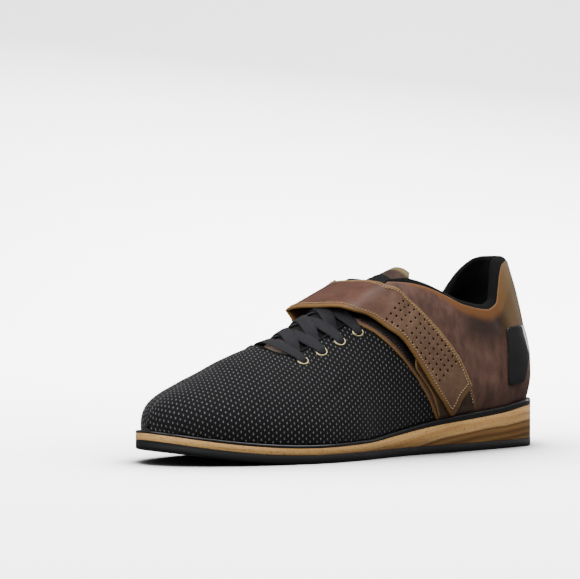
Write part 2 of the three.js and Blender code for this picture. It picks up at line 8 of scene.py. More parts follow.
# %% Load the fixed frame
import math

import bmesh
import bpy
import numpy as np
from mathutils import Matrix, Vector


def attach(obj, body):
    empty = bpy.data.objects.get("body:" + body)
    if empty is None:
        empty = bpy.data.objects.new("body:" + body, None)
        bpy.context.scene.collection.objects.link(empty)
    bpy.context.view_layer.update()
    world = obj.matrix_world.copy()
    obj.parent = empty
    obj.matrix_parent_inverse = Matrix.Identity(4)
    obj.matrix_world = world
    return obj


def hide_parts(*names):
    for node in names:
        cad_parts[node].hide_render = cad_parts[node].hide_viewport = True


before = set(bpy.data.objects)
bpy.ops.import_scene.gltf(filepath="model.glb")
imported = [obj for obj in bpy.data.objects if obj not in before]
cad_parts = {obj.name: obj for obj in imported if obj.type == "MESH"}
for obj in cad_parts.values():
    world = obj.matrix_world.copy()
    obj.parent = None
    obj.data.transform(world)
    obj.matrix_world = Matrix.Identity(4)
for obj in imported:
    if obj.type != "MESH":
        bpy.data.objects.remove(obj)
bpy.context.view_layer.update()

scene = bpy.context.scene
MM = 0.001

# %% [markdown]
# ## Camera
# The photo looks at the outer side from 38.5 degrees, a little from above, with a long lens about
# 1.8 m away. The camera comes first because everything else is judged through it.

# %% Place the camera
VIEW_TURN = math.radians(38.5)
VIEW_RISE = math.radians(3.3)
VIEW_DISTANCE = 1.8
VIEW_TARGET = Vector((0, -0.00795, 0.04))
AIM_RIGHT = -0.0314
AIM_UP = 0.0644
LENS_MM = 174.5

back = Vector((math.sin(VIEW_TURN) * math.cos(VIEW_RISE),
               math.cos(VIEW_TURN) * math.cos(VIEW_RISE), math.sin(VIEW_RISE)))
right = Vector((-math.cos(VIEW_TURN), math.sin(VIEW_TURN), 0))
up = back.cross(right)
camera_data = bpy.data.cameras.new("camera")
camera_data.lens = LENS_MM
camera_data.clip_end = 20
camera = bpy.data.objects.new("camera", camera_data)
scene.collection.objects.link(camera)
camera.location = VIEW_TARGET + VIEW_DISTANCE * back
aim = VIEW_TARGET + AIM_RIGHT * right + AIM_UP * up
camera.rotation_euler = (aim - camera.location).to_track_quat("-Z", "Y").to_euler()
scene.camera = camera
print("camera at", [round(v, 3) for v in camera.location])

# %% [markdown]
# ## Sizes and tables of the last
# A shoe is made over a last, a wooden foot. These are the last's own sizes in millimetres and its
# sections from heel (share 0) to toe (share 1), the same as in the solids, so the skins fit them.

# %% Sizes in millimetres
LENGTH = 300
BALL_LATERAL = 61.2
BALL_MEDIAL = 45.3
AXIS_Y = (BALL_MEDIAL - BALL_LATERAL) / 2
TOE_SPRING = 9.5
SPRING_START = 0.7
OUTSOLE = 5.2
WEDGE_HEEL = 22.4
RAND_HEEL = 3.8
RAND_TOE = 1.8
SEAM = 0.3
CONE = 134
COLLAR = 124
WALL = 2
QUARTER_STEP = 1.2
COLLAR_PAD = 5.5
COLLAR_PAD_HEIGHT = 30
TOE_ROUND = 46
TOE_POWER = 2.5
TUCK_HEIGHT = 18
ARCH_BULGE = 11
ARCH_LIFT = 36
ARCH_PLACE = 0.46
ARCH_REACH = 0.11
LEDGE_HEEL = 0.8
LEDGE_TOE = 2.3
TUCK_HEEL = 3.2
TUCK_TOE = 0.9
HEEL_SHARE = 0.3
HEEL_CURVE = 10.4
THROAT_FRONT = 69
THROAT_HALF = 20.5
THROAT_ROUND = 13
THROAT_POWER = 2.4
EYELET_MARGIN = 6
FIRST_EYELET = 53
EYELET_PITCH = 14.2
EYELET_PAIRS = 4


def table(names, *rows):
    """Rows of numbers under named columns."""
    return dict(zip(names.split(), np.array(rows, float).T))


SOLE_OUTLINE = table(
    "share lateral medial",
    (0, 0, 0), (0.02, 0.373, 0.504), (0.06, 0.537, 0.749), (0.12, 0.608, 0.855), (0.2, 0.662, 0.802),
    (0.3, 0.711, 0.606), (0.38, 0.735, 0.499), (0.45, 0.784, 0.462), (0.52, 0.859, 0.6), (0.6, 0.96, 0.831),
    (0.68, 1, 0.985), (0.76, 0.948, 1), (0.84, 0.827, 0.926), (0.91, 0.65, 0.781), (0.96, 0.461, 0.587),
    (0.99, 0.233, 0.31), (1, 0, 0))
SOLE_PROFILE = table(
    "share wedge rand",
    (0, 1, 1), (0.05, 0.98, 1), (0.14, 0.82, 1), (0.23, 0.71, 1), (0.33, 0.6, 0.8), (0.41, 0.48, 0.45),
    (0.47, 0.38, 0.2), (0.57, 0.24, 0), (0.72, 0.2, 0), (1, 0.2, 0))
LAST = table(
    "share crest ridge lateral medial",
    (0, 1, 0, 2, 2), (0.2, 1, 0.03, 2, 2), (0.35, 0.99, 0.06, 2, 2.1), (0.43, 0.95, 0.09, 1.95, 2.2),
    (0.48, 0.82, 0.095, 1.9, 2.2), (0.55, 0.7, 0.09, 1.8, 2), (0.6, 0.642, 0.085, 1.7, 1.85),
    (0.67, 0.563, 0.07, 1.6, 1.7), (0.74, 0.518, 0.05, 1.65, 1.75), (0.8, 0.468, 0.02, 1.8, 1.85),
    (0.86, 0.405, -0.01, 2, 2), (0.92, 0.365, -0.03, 2.2, 2.2), (1, 0.35, -0.04, 2.3, 2.3))
TOPLINE = table(
    "share height",
    (-0.1, 0.985), (0.02, 1), (0.05, 0.985), (0.08, 0.93), (0.108, 0.845), (0.13, 0.774), (0.165, 0.747),
    (0.24, 0.774), (0.29, 0.822), (0.34, 0.868), (0.385, 0.892), (0.43, 0.9), (0.6, 0.905))
QUARTER_EDGE = table(
    "share height",
    (0.335, 0.1), (0.346, 0.17), (0.37, 0.257), (0.398, 0.35), (0.431, 0.437), (0.468, 0.523),
    (0.498, 0.585), (0.524, 0.622), (0.552, 0.68), (0.575, 0.8))
HEEL_BACK = table(
    "share lean",
    (0, 0), (0.45, 0), (0.58, 0.36), (0.67, 0.55), (0.77, 0.76), (0.88, 1), (1.1, 1.3))

# %% [markdown]
# ## Reading a table smoothly
# A cubic through the rows gives round forms, but a plain one swings past its rows. The slope at
# each row is the harmonic mean of its two neighbours' slopes, and zero at a peak, so it never does.

# %% Table reader and outline


def read(rows, key, share, place=lambda s: s):
    """Monotone cubic through one column: Hermite weights of u in a gap, with harmonic-mean slopes."""
    xs, ys = place(rows["share"]), rows[key]
    slopes = np.diff(ys) / np.diff(xs)
    before, after = np.r_[slopes[:1], slopes], np.r_[slopes, slopes[-1:]]
    total = np.where(before + after == 0, 1, before + after)
    tangents = np.where(before * after <= 0, 0, 2 * before * after / total)
    x = np.clip(place(np.asarray(share, float)), xs[0], xs[-1])
    i = np.clip(np.searchsorted(xs, x) - 1, 0, len(xs) - 2)
    gap = xs[i + 1] - xs[i]
    u = (x - xs[i]) / gap
    rise = (3 - 2 * u) * u * u
    bend = gap * u * (1 - u) * ((1 - u) * tangents[i] - u * tangents[i + 1])
    return ys[i] * (1 - rise) + ys[i + 1] * rise + bend


def smooth(x, low, high):
    """Smoothstep: 3t^2 - 2t^3 of the share of the way from low to high."""
    t = np.clip((x - low) / (high - low), 0, 1)
    return t * t * (3 - 2 * t)


def lerp(a, b, t):
    return a + (b - a) * t


def station_of(share):
    """Stations are spread like a cosine, close together at both round ends."""
    return np.arccos(1 - 2 * np.clip(share, 0, 1)) / np.pi


def share_of(station):
    return (1 - np.cos(np.pi * station)) / 2


def x_of(share):
    return (share - 0.5) * LENGTH


def share_at(x):
    return x / LENGTH + 0.5


def outline(station, side):
    """Edge of the sole in plan: the half width of that side, folded over at both ends."""
    station, side = np.broadcast_arrays(np.asarray(station, float), np.asarray(side, float))
    past = (station < 0) | (station > 1)
    turned = np.where(past, -side, side)
    inside = np.where(station < 0, -station, np.where(station > 1, 2 - station, station))
    share = share_of(inside)
    lateral = BALL_LATERAL * read(SOLE_OUTLINE, "lateral", share, station_of)
    medial = BALL_MEDIAL * read(SOLE_OUTLINE, "medial", share, station_of)
    half = np.where(turned > 0, lateral, medial)
    return np.stack([x_of(share), AXIS_Y + turned * half], axis=-1)


def outward(station, side):
    """Unit normal of the outline, from the points just before and after."""
    step = 0.004
    along = outline(station + step, side) - outline(station - step, side)
    normal = np.stack([-along[..., 1], along[..., 0]], axis=-1) * np.asarray(side, float)[..., None]
    return normal / np.linalg.norm(normal, axis=-1, keepdims=True)


def inset_outline(station, side, inset):
    return outline(station, side) - outward(station, side) * np.asarray(inset, float)[..., None]


def spring_height(share):
    return TOE_SPRING * (np.maximum(share - SPRING_START, 0) / (1 - SPRING_START)) ** 2


def wedge_bottom(share):
    return spring_height(share) + OUTSOLE


def wedge_top(share):
    return wedge_bottom(share) + WEDGE_HEEL * read(SOLE_PROFILE, "wedge", share)


def rand_top(share):
    return wedge_top(share) + lerp(RAND_TOE, RAND_HEEL, read(SOLE_PROFILE, "rand", share))


# %% [markdown]
# ## The last itself
# Each cross section is a squared ellipse from the sole's edge up to the crest, so one formula gives
# heel, waist and toe. The lining, the textile and the leather are the same form a little smaller or
# larger, which is how real layers lie on each other.

# %% Points on the last


def ledge(share):
    """How far the upper stands back from the sole's edge."""
    return lerp(LEDGE_HEEL, LEDGE_TOE, smooth(share, 0.2, 0.6))


def tuck(share):
    """How far the upper draws in again at its foot."""
    return lerp(TUCK_HEEL, TUCK_TOE, smooth(share, 0.15, 0.5))


def last_crest(share):
    return CONE * read(LAST, "crest", share)


def topline(share):
    return COLLAR * read(TOPLINE, "height", share)


def ridge(share):
    return AXIS_Y + BALL_LATERAL * read(LAST, "ridge", share)


def last_power(share, side):
    return np.where(side > 0, read(LAST, "lateral", share), read(LAST, "medial", share))


def arch_out(share, side):
    """How far the medial side overhangs the sole's waist."""
    return np.where(side > 0, 0, ARCH_BULGE * np.exp(-(((share - ARCH_PLACE) / ARCH_REACH) ** 2)))


def side_edge(station, side, inset):
    share = share_of(station)
    return inset_outline(station, side, ledge(share) + inset - arch_out(share, side))


def collar_pad(share, z):
    """Padding of the collar: full at the topline, gone 30 mm below it and towards the instep."""
    near = 1 - smooth(topline(share) - z, COLLAR_PAD_HEIGHT * 0.3, COLLAR_PAD_HEIGHT)
    return COLLAR_PAD * near * (1 - smooth(share, 0.3, 0.38))


def section(station, side, inset, crest=last_crest, power=last_power):
    """What one cross section needs: base point, share, floor, height and exponent."""
    base = side_edge(station, side, inset)
    share = share_at(base[..., 0])
    floor = rand_top(share) + SEAM
    tip = LENGTH / 2 - LEDGE_TOE - inset
    into = np.clip((base[..., 0] - tip + TOE_ROUND) / TOE_ROUND, 0, 1)
    toe = np.maximum(1 - into ** TOE_POWER, 0) ** (1 / TOE_POWER)
    height = (crest(share) - inset - floor) * toe
    return base, share, floor, height, power(share, side)


def last_point(station, side, around, inset=0.0, crest=last_crest, power=last_power, padded=False):
    """Squared ellipse: across = cos^(2/n), lift = height sin^(2/n), from base (0) to crest (1)."""
    station, side, around, inset = np.broadcast_arrays(
        *(np.asarray(v, float) for v in (station, side, around, inset)))
    base, share, floor, height, n = section(station, side, inset, crest, power)
    angle = around * np.pi / 2
    across = np.maximum(np.cos(angle), 0) ** (2 / n)
    lift = height * np.maximum(np.sin(angle), 0) ** (2 / n)
    middle = ridge(share)
    point = np.stack([base[..., 0], middle + (base[..., 1] - middle) * across, floor + lift], axis=-1)
    low = np.maximum(1 - lift / TUCK_HEIGHT, 0) ** 2
    waist = np.maximum(1 - lift / ARCH_LIFT, 0) ** 1.5
    out = -(tuck(share) * low + arch_out(share, side) * waist) * np.minimum(across * 1.5, 1)
    if padded:
        out = out - collar_pad(share, point[..., 2])
    point[..., :2] += outward(station, side) * out[..., None]
    lean = HEEL_CURVE * read(HEEL_BACK, "lean", point[..., 2] / CONE)
    point[..., 0] += lean * smooth(HEEL_SHARE - share, 0, HEEL_SHARE)
    return point


def around_at_height(station, side, z, inset=0.0):
    """Inverse of the section: how far around a height lies."""
    _, _, floor, height, n = section(station, side, inset)
    part = np.clip((z - floor) / np.maximum(height, 1e-6), 0, 1)
    return np.arcsin(part ** (n / 2)) * 2 / np.pi


def around_at_side(station, side, half, inset=0.0):
    """Inverse of the section: how far around a distance from the ridge lies."""
    base, share, _, _, n = section(station, side, inset)
    part = np.clip(half / np.maximum(np.abs(base[..., 1] - ridge(share)), 1e-6), 0, 1)
    return np.arccos(part ** (n / 2)) * 2 / np.pi


def surface_height(x, y, inset=0.0, crest=last_crest):
    """Height of the last over a place in plan."""
    share = share_at(x)
    side = np.where(y >= ridge(share), 1.0, -1.0)
    edge = side_edge(station_of(share), side, inset)
    floor = rand_top(share) + SEAM
    across = np.clip((y - ridge(share)) / (edge[..., 1] - ridge(share)), 0, 0.999)
    n = last_power(share, side)
    return floor + (crest(share) - inset - floor) * (1 - across ** n) ** (1 / n)


def surface_normal(x, y):
    step = 1.5
    slope_x = (surface_height(x + step, y) - surface_height(x - step, y)) / (2 * step)
    slope_y = (surface_height(x, y + step) - surface_height(x, y - step)) / (2 * step)
    normal = np.stack([-slope_x, -slope_y, np.ones_like(slope_x)], axis=-1)
    return normal / np.linalg.norm(normal, axis=-1, keepdims=True)


def throat_half(x):
    """Half width of the lacing slot: a squared ellipse at its front, then straight."""
    into = np.clip((THROAT_FRONT - x) / THROAT_ROUND, 0, 1)
    return THROAT_HALF * np.maximum(1 - (1 - into) ** THROAT_POWER, 0) ** (1 / THROAT_POWER)


print("crest over the ball:", round(float(last_crest(0.68)), 1), "mm")

# %% [markdown]
# ## From arrays to meshes
# A grid of points becomes a mesh with one quad per cell. Thin leather is a closed sheet: its inner
# face lies one thickness down the normals, and three rows round its rim, as a cut edge is dressed.

# %% Mesh makers


def new_mesh(name, points, faces, uv=None, slots=None, floats=None):
    """Puts points in mm, quads and per-point values into a smooth mesh in metres."""
    mesh = bpy.data.meshes.new(name)
    mesh.from_pydata((np.asarray(points) * MM).tolist(), [], [tuple(map(int, f)) for f in faces])
    mesh.polygons.foreach_set("use_smooth", np.ones(len(mesh.polygons), bool))
    corner = np.empty(len(mesh.loops), np.int32)
    mesh.loops.foreach_get("vertex_index", corner)
    if uv is not None:
        layer = mesh.uv_layers.new(name="UVMap")
        layer.data.foreach_set("uv", np.asarray(uv, np.float32)[corner].ravel())
    if slots is not None:
        mesh.polygons.foreach_set("material_index", np.asarray(slots, np.int32))
    for key, values in (floats or {}).items():
        store = mesh.attributes.new(key, "FLOAT", "POINT")
        store.data.foreach_set("value", np.asarray(values, np.float32).ravel())
    mesh.update()
    made = bpy.data.objects.new(name, mesh)
    scene.collection.objects.link(made)
    return made


def grid_faces(rows, columns, closed=False, start=0):
    """Quads between neighbouring rows; closed joins the last column to the first."""
    i, j = np.meshgrid(np.arange(rows - 1), np.arange(columns - (0 if closed else 1)), indexing="ij")
    k = (j + 1) % columns
    a, b = i * columns + j, i * columns + k
    return np.stack([a, b, b + columns, a + columns], axis=-1).reshape(-1, 4) + start


def grid_normals(points):
    """Unit normals of a grid from its two directions of neighbours."""
    n = np.cross(np.gradient(points, axis=0), np.gradient(points, axis=1))
    size = np.linalg.norm(n, axis=-1, keepdims=True)
    return n / np.maximum(size, 1e-9)


def unit(v):
    return v / np.maximum(np.linalg.norm(v, axis=-1, keepdims=True), 1e-9)


def arc_lengths(points, axis):
    """Running length along one direction of a grid, in mm."""
    steps = np.linalg.norm(np.diff(points, axis=axis), axis=-1)
    start = np.zeros_like(np.take(steps, [0], axis=axis))
    return np.concatenate([start, np.cumsum(steps, axis=axis)], axis=axis)


def rim_indices(rows, columns):
    """Row and column of every point round the edge of a grid, once round."""
    top = [(0, j) for j in range(columns)]
    far = [(i, columns - 1) for i in range(1, rows)]
    bottom = [(rows - 1, j) for j in range(columns - 2, -1, -1)]
    near = [(i, 0) for i in range(rows - 2, 0, -1)]
    return np.array(top + far + bottom + near)


RIM_ROWS = 3


def sheet(name, outer, thickness, inside=False, uv=None, floats=None):
    """Closed sheet of one thickness. Slot 0 is the outer face, 1 the rim, 2 the inner face.
    The outer face looks away from the middle of the shoe, or towards it for a lining."""
    rows, columns = outer.shape[:2]
    normals = grid_normals(outer)
    away = outer - np.stack([0.6 * outer[..., 0], np.full((rows, columns), AXIS_Y),
                             np.full((rows, columns), 30.0)], axis=-1)
    sign = -1 if ((normals * away).sum() > 0) == inside else 1
    normals = sign * normals
    inner = outer - thickness * normals
    rim = rim_indices(rows, columns)
    inward = np.clip(rim, 1, [rows - 2, columns - 2])
    edge = outer[rim[:, 0], rim[:, 1]]
    n = normals[rim[:, 0], rim[:, 1]]
    away = edge - outer[inward[:, 0], inward[:, 1]]
    away = unit(away - (away * n).sum(-1, keepdims=True) * n)
    turn = np.linspace(0, np.pi, RIM_ROWS + 2)[1:-1, None, None]
    middle = edge - thickness / 2 * n
    round_rim = middle + thickness / 2 * (np.cos(turn) * n + np.sin(turn) * away)
    count = rows * columns
    points = np.concatenate([outer.reshape(-1, 3), inner.reshape(-1, 3), round_rim.reshape(-1, 3)])
    top = grid_faces(rows, columns)
    under = top[:, ::-1] + count
    ring = [rim[:, 0] * columns + rim[:, 1]]
    ring += [2 * count + k * len(rim) + np.arange(len(rim)) for k in range(RIM_ROWS)]
    ring += [rim[:, 0] * columns + rim[:, 1] + count]
    strips = []
    for a, b in zip(ring[:-1], ring[1:]):
        strips.append(np.stack([np.roll(a, -1), a, b, np.roll(b, -1)], axis=-1))
    around = np.concatenate(strips)
    faces = np.concatenate([top, under, around])
    if sign < 0:
        faces = faces[:, ::-1]
    slots = np.r_[np.zeros(len(top)), np.full(len(under), 2), np.ones(len(around))]

    def spread(v):
        """Values of the grid's points for both faces and every rim row."""
        at_rim = v[rim[:, 0], rim[:, 1]].reshape(len(rim), -1)
        return np.concatenate([v.reshape(count, -1)] * 2 + [at_rim] * RIM_ROWS)

    all_uv = None if uv is None else spread(uv)
    extra = {key: spread(value[..., None]).ravel() for key, value in (floats or {}).items()}
    return new_mesh(name, points, faces, all_uv, slots, extra)


def tube(name, path, radius, sides=10):
    """Round tube along a path, its section held level."""
    path = np.asarray(path, float)
    tangent = unit(np.gradient(path, axis=0))
    across = np.cross(tangent, [0.0, 0.0, 1.0])
    weak = np.linalg.norm(across, axis=-1) < 0.2
    across[weak] = np.cross(tangent[weak], [0.0, 1.0, 0.0])
    across = unit(across)
    rise = np.cross(across, tangent)
    turn = np.linspace(0, 2 * np.pi, sides, endpoint=False)[None, :, None]
    wheel = np.cos(turn) * across[:, None] + np.sin(turn) * rise[:, None]
    ring = path[:, None] + radius * wheel
    faces = list(grid_faces(len(path), sides, closed=True)[:, ::-1])
    faces.append(np.arange(sides))
    faces.append((len(path) - 1) * sides + np.arange(sides)[::-1])
    return recalculate(new_mesh(name, ring.reshape(-1, 3), faces))


def recalculate(made, merge=0.0):
    """Merges doubles and turns a closed mesh's faces outwards."""
    work = bmesh.new()
    work.from_mesh(made.data)
    if merge:
        bmesh.ops.remove_doubles(work, verts=work.verts, dist=merge * MM)
    bmesh.ops.recalc_face_normals(work, faces=work.faces)
    work.to_mesh(made.data)
    work.free()
    return made


def keep(made, slot, nodes, materials):
    """Gives a piece its finishes, lets it ride on the shoe and hides the solids that it stands for."""
    made.data.materials.clear()
    for finish in materials:
        made.data.materials.append(finish)
    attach(made, "root")
    if nodes:
        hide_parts(*nodes)
    print(made.name, len(made.data.vertices), "points")
    return made

# %% [markdown]
# ## Sole
# Three layers are stacked: a rubber outsole, a bent wooden wedge and a black rubber rand. Each is
# the outline carried up through rows. A row is a pair of functions of the share, its inset and its
# height, so extra rows round an edge.

# %% Sole layers
SOLE_STEPS = 170
ARCH_MIDDLE = -85
ARCH_HALF = 58


def sole_stations():
    """Stations from heel to toe, closer together at both ends."""
    even = np.linspace(0, 1, SOLE_STEPS + 1)
    return even + 0.22 * np.sin(2 * np.pi * even) / (2 * np.pi)


def sole_ring(inset, height):
    """One loop of the sole's edge, lateral side first, at an inset and a height of the share."""
    stations = sole_stations()
    loops = []
    for side, order in ((1.0, stations), (-1.0, stations[::-1])):
        flat = inset_outline(order, side, inset(share_of(order)) * np.ones(len(order)))
        z = height(share_at(flat[:, 0])) * np.ones(len(order))
        part = np.concatenate([flat, z[:, None]], axis=1)
        loops.append(part if side > 0 else part[1:-1])
    return np.concatenate(loops)


def sole_layer(name, rows, slots):
    """Rings joined from the bottom up, closed below and above by strips across the sole.
    Its map holds x and a height that follows the wood's bent layers."""
    rings = np.array([sole_ring(inset, height) for inset, height in rows])
    count = rings.shape[1]
    sides = grid_faces(len(rows), count, closed=True)
    i = np.arange(1, SOLE_STEPS)
    opposite = count - i
    across = [(0, count - 1, 1)] + list(zip(i[:-1], opposite[:-1], opposite[1:], i[1:]))
    across.append((SOLE_STEPS - 1, SOLE_STEPS + 1, SOLE_STEPS))
    top = (len(rows) - 1) * count
    faces = list(sides) + across + [tuple(v + top for v in f[::-1]) for f in across]
    face_slots = np.r_[np.repeat(slots, count), np.repeat([slots[0], slots[-1]], len(across))]
    height_above = rings[..., 2] - wedge_bottom(share_at(rings[..., 0]))
    thick = wedge_top(share_at(rings[..., 0])) - wedge_bottom(share_at(rings[..., 0]))
    arch = np.minimum(2.6 * ((rings[..., 0] - ARCH_MIDDLE) / ARCH_HALF) ** 2, 3)
    uv = np.stack([rings[..., 0], height_above - thick + arch], axis=-1).reshape(-1, 2)
    return recalculate(new_mesh(name, rings.reshape(-1, 3), faces, uv, face_slots))


def rounded_rows(low, high, radius, round_low, round_high):
    """Rows up a side from low to high with a quarter circle at each end that is rounded."""
    rows = []
    turns = np.linspace(0, np.pi / 2, 5)
    if round_low:
        for t in turns:
            inset, rise = radius * (1 - np.sin(t)), radius * (1 - np.cos(t))
            rows.append((lambda s, inset=inset: inset, lambda s, rise=rise: low(s) + rise))
    else:
        rows.append((lambda s: 0.0, low))
    if round_high:
        for t in turns:
            inset, drop = radius * (1 - np.cos(t)), radius * (1 - np.sin(t))
            rows.append((lambda s, inset=inset: inset, lambda s, drop=drop: high(s) - drop))
    else:
        rows.append((lambda s: 0.0, high))
    return rows


LAYER_GAP = 0.05
OUTSOLE_ROUND = 0.9
RAND_ROUND = 0.95
INSOLE_CLEAR = 0.6


def just_below(height):
    """The same height less the hair's breadth that keeps two layers from sharing a face."""
    return lambda s: height(s) - LAYER_GAP


def insole_inset(share):
    return ledge(share) + tuck(share) + WALL + INSOLE_CLEAR


outsole_rows = rounded_rows(spring_height, just_below(wedge_bottom), OUTSOLE_ROUND, True, False)
wedge_rows = [(lambda s: 0.35, wedge_bottom), (lambda s: 0.0, lambda s: wedge_bottom(s) + 0.3),
              (lambda s: 0.0, lambda s: wedge_top(s) - 0.35), (lambda s: 0.3, just_below(wedge_top))]
rand_rows = rounded_rows(wedge_top, rand_top, RAND_ROUND, False, True)
insole_rows = [(insole_inset, lambda s: rand_top(s) + SEAM), (insole_inset, lambda s: rand_top(s) + 2.4),
               (lambda s: insole_inset(s) + 0.6, lambda s: rand_top(s) + 3.1)]

# %% [markdown]
# ## Upper
# The textile forefoot wraps over the last from one side of the sole to the other, with a slot for
# the laces. The leather quarters wrap round the heel from edge to edge and lie on the textile. The
# lining is one padded skin inside that rolls out over the topline as a narrow black binding.

# %% Creases of wear
# Each row is one crease: its two ends, its half width and its depth, all in mm. Vamp and quarters
# have theirs in side view (x, z), and the strap in its own flat map (along, across).
CREASE_BOW = 0.08
RIDGE_PLACE = 2.1
RIDGE_SHARE = 0.35
VAMP_CREASES = ((44, 30, 26, 52, 3.2, 0.7), (54, 27, 40, 44, 2.6, 0.5), (66, 24, 55, 37, 2.4, 0.35))
QUARTER_CREASES = (
    (-98, 62, -70, 74, 4.4, 0.3), (-104, 48, -78, 56, 4.0, 0.22), (-118, 72, -104, 88, 3.6, 0.4),
    (-62, 34, -30, 30, 4.0, 0.3))
STRAP_CREASES = ((62, 4, 71, 27, 3.0, 0.5), (84, 16, 90, 40, 3.2, 0.45), (104, 2, 108, 24, 3.4, 0.5))


def crease(u, v, lines):
    """Depth in mm of soft troughs along line segments in a plane, with a low ridge on each side."""
    depth = np.zeros(np.shape(u))
    for u_0, v_0, u_1, v_1, half_width, deep in lines:
        along_u, along_v = u_1 - u_0, v_1 - v_0
        length = math.hypot(along_u, along_v)
        part = ((u - u_0) * along_u + (v - v_0) * along_v) / length ** 2
        bowed = CREASE_BOW * length * np.sin(np.pi * np.clip(part, 0, 1))
        aside = ((u - u_0) * along_v - (v - v_0) * along_u) / length - bowed
        fade = smooth(part, -0.25, 0.35) * (1 - smooth(part, 0.65, 1.25))
        trough = np.exp(-((aside / half_width) ** 2))
        ridges = np.exp(-(((np.abs(aside) - RIDGE_PLACE * half_width) / half_width) ** 2))
        depth += deep * fade * (trough - RIDGE_SHARE * ridges)
    return depth


def creased(grid, lines, u=None, v=None):
    """A grid pressed in along creases, given in side view or in the grid's own millimetres."""
    u = grid[..., 0] if u is None else u
    v = grid[..., 2] if v is None else v
    normals = grid_normals(grid)
    away = grid - np.array([0.0, AXIS_Y, 30.0])
    normals = normals * np.where((normals * away).sum() > 0, 1, -1)
    return grid - normals * crease(u, v, lines)[..., None]


# %% Textile forefoot
LEATHER_DROP = 2.3
VAMP_BACK = 0.34
VAMP_DROP = 8


def vamp_stations():
    """Close together round the front of the slot, even elsewhere."""
    near = THROAT_FRONT - np.array([0, 0.05, 0.2, 0.5, 1, 1.7, 2.7, 4, 5.6, 7.6, 10, 13])
    behind = np.arange(THROAT_FRONT - 16, x_of(VAMP_BACK), -2.2)
    ahead = np.linspace(THROAT_FRONT + 1.2, x_of(0.93), 44)
    toe = station_of(np.array([0.93]))[0] + (1 - station_of(np.array([0.93]))[0]) * np.linspace(0, 1, 40)[1:]
    middle = station_of(share_at(np.sort(np.r_[near, behind, ahead])))
    return np.r_[middle, toe]


def vamp_half(side, inset):
    """One half of the forefoot: rows of sections, columns from the sole's edge to slot or crest."""
    stations = vamp_stations()
    base = side_edge(stations, side, inset)
    top = around_at_side(stations, side, throat_half(base[:, 0]), inset)
    below_topline = around_at_height(stations, side, topline(share_of(stations)) - VAMP_DROP, inset)
    top = np.where(share_of(stations) < 0.42, np.minimum(top, below_topline), top)
    columns = np.linspace(0, 1, 60) ** 1.05
    return creased(last_point(stations[:, None], side, columns[None] * top[:, None], inset), VAMP_CREASES)


def make_vamp():
    """Both halves, merged along the crest ahead of the slot."""
    halves = [vamp_half(side, 0.0) for side in (1.0, -1.0)]
    rows, columns = halves[0].shape[:2]
    points = np.concatenate([half.reshape(-1, 3) for half in halves])
    lateral = grid_faces(rows, columns)
    medial = grid_faces(rows, columns, start=rows * columns)[:, ::-1]
    made = new_mesh("textile_forefoot", points, np.concatenate([lateral, medial]))
    return recalculate(made, merge=0.02)


# %% [markdown]
# The woven pattern has to lie on the forefoot as flat cloth would, so the skin is unfolded with the
# least stretch, as a pattern cutter does, and the result is scaled back to millimetres.

# %% Unfold the forefoot


def unfold(made):
    """Unwraps a skin, then turns and scales its map so that one unit is one mm along the foot."""
    bpy.ops.object.select_all(action="DESELECT")
    made.select_set(True)
    bpy.context.view_layer.objects.active = made
    bpy.ops.object.mode_set(mode="EDIT")
    bpy.ops.mesh.select_all(action="SELECT")
    bpy.ops.uv.unwrap(method="MINIMUM_STRETCH", iterations=60, margin=0.0)
    bpy.ops.object.mode_set(mode="OBJECT")
    mesh = made.data
    count = len(mesh.loops)
    uv = np.empty(count * 2)
    mesh.uv_layers.active.data.foreach_get("uv", uv)
    uv = uv.reshape(-1, 2)
    corner = np.empty(count, np.int32)
    mesh.loops.foreach_get("vertex_index", corner)
    place = np.empty(len(mesh.vertices) * 3)
    mesh.vertices.foreach_get("co", place)
    place = place.reshape(-1, 3)[corner] / MM
    offset = uv - uv.mean(0)
    plan = place[:, :2] - place[:, :2].mean(0)
    cosine = (offset * plan).sum()
    sine = (offset[:, 0] * plan[:, 1] - offset[:, 1] * plan[:, 0]).sum()
    mirrored = offset * [1, -1]
    cosine_2 = (mirrored * plan).sum()
    sine_2 = (mirrored[:, 0] * plan[:, 1] - mirrored[:, 1] * plan[:, 0]).sum()
    if math.hypot(cosine_2, sine_2) > math.hypot(cosine, sine):
        offset, cosine, sine = mirrored, cosine_2, sine_2
    turn = math.atan2(sine, cosine)
    spin = np.array([[math.cos(turn), math.sin(turn)], [-math.sin(turn), math.cos(turn)]])
    offset = offset @ spin
    flat_area = area = 0.0
    for face in mesh.polygons:
        ring = offset[face.loop_start:face.loop_start + face.loop_total]
        after = np.roll(ring, -1, 0)
        flat_area += abs((ring[:, 0] * after[:, 1] - ring[:, 1] * after[:, 0]).sum()) / 2
        area += face.area / MM ** 2
    offset *= math.sqrt(area / flat_area)
    mesh.uv_layers.active.data.foreach_set("uv", offset.astype(np.float32).ravel())
    print("unfolded", made.name, "to", np.round(np.ptp(offset, axis=0), 1), "mm")


# %% [markdown]
# ## Leather quarters
# Each row runs from the middle of the heel forward to the front edge. That edge is a curve of share
# against height, so each row's end is found by halving.

# %% Leather quarters
QUARTER_ROWS = 56
QUARTER_COLUMNS = 120


def top_around(station, side, inset, drop):
    """Where a skin ends upwards: the topline, or the slot's edge once that is lower."""
    share = share_of(station)
    at_top = around_at_height(station, side, topline(share) - drop, inset)
    at_slot = around_at_side(station, side, THROAT_HALF + 0.3 * drop, inset)
    slot = np.where(share > 0.38, at_slot, 1.0)
    return np.minimum(at_top, slot)


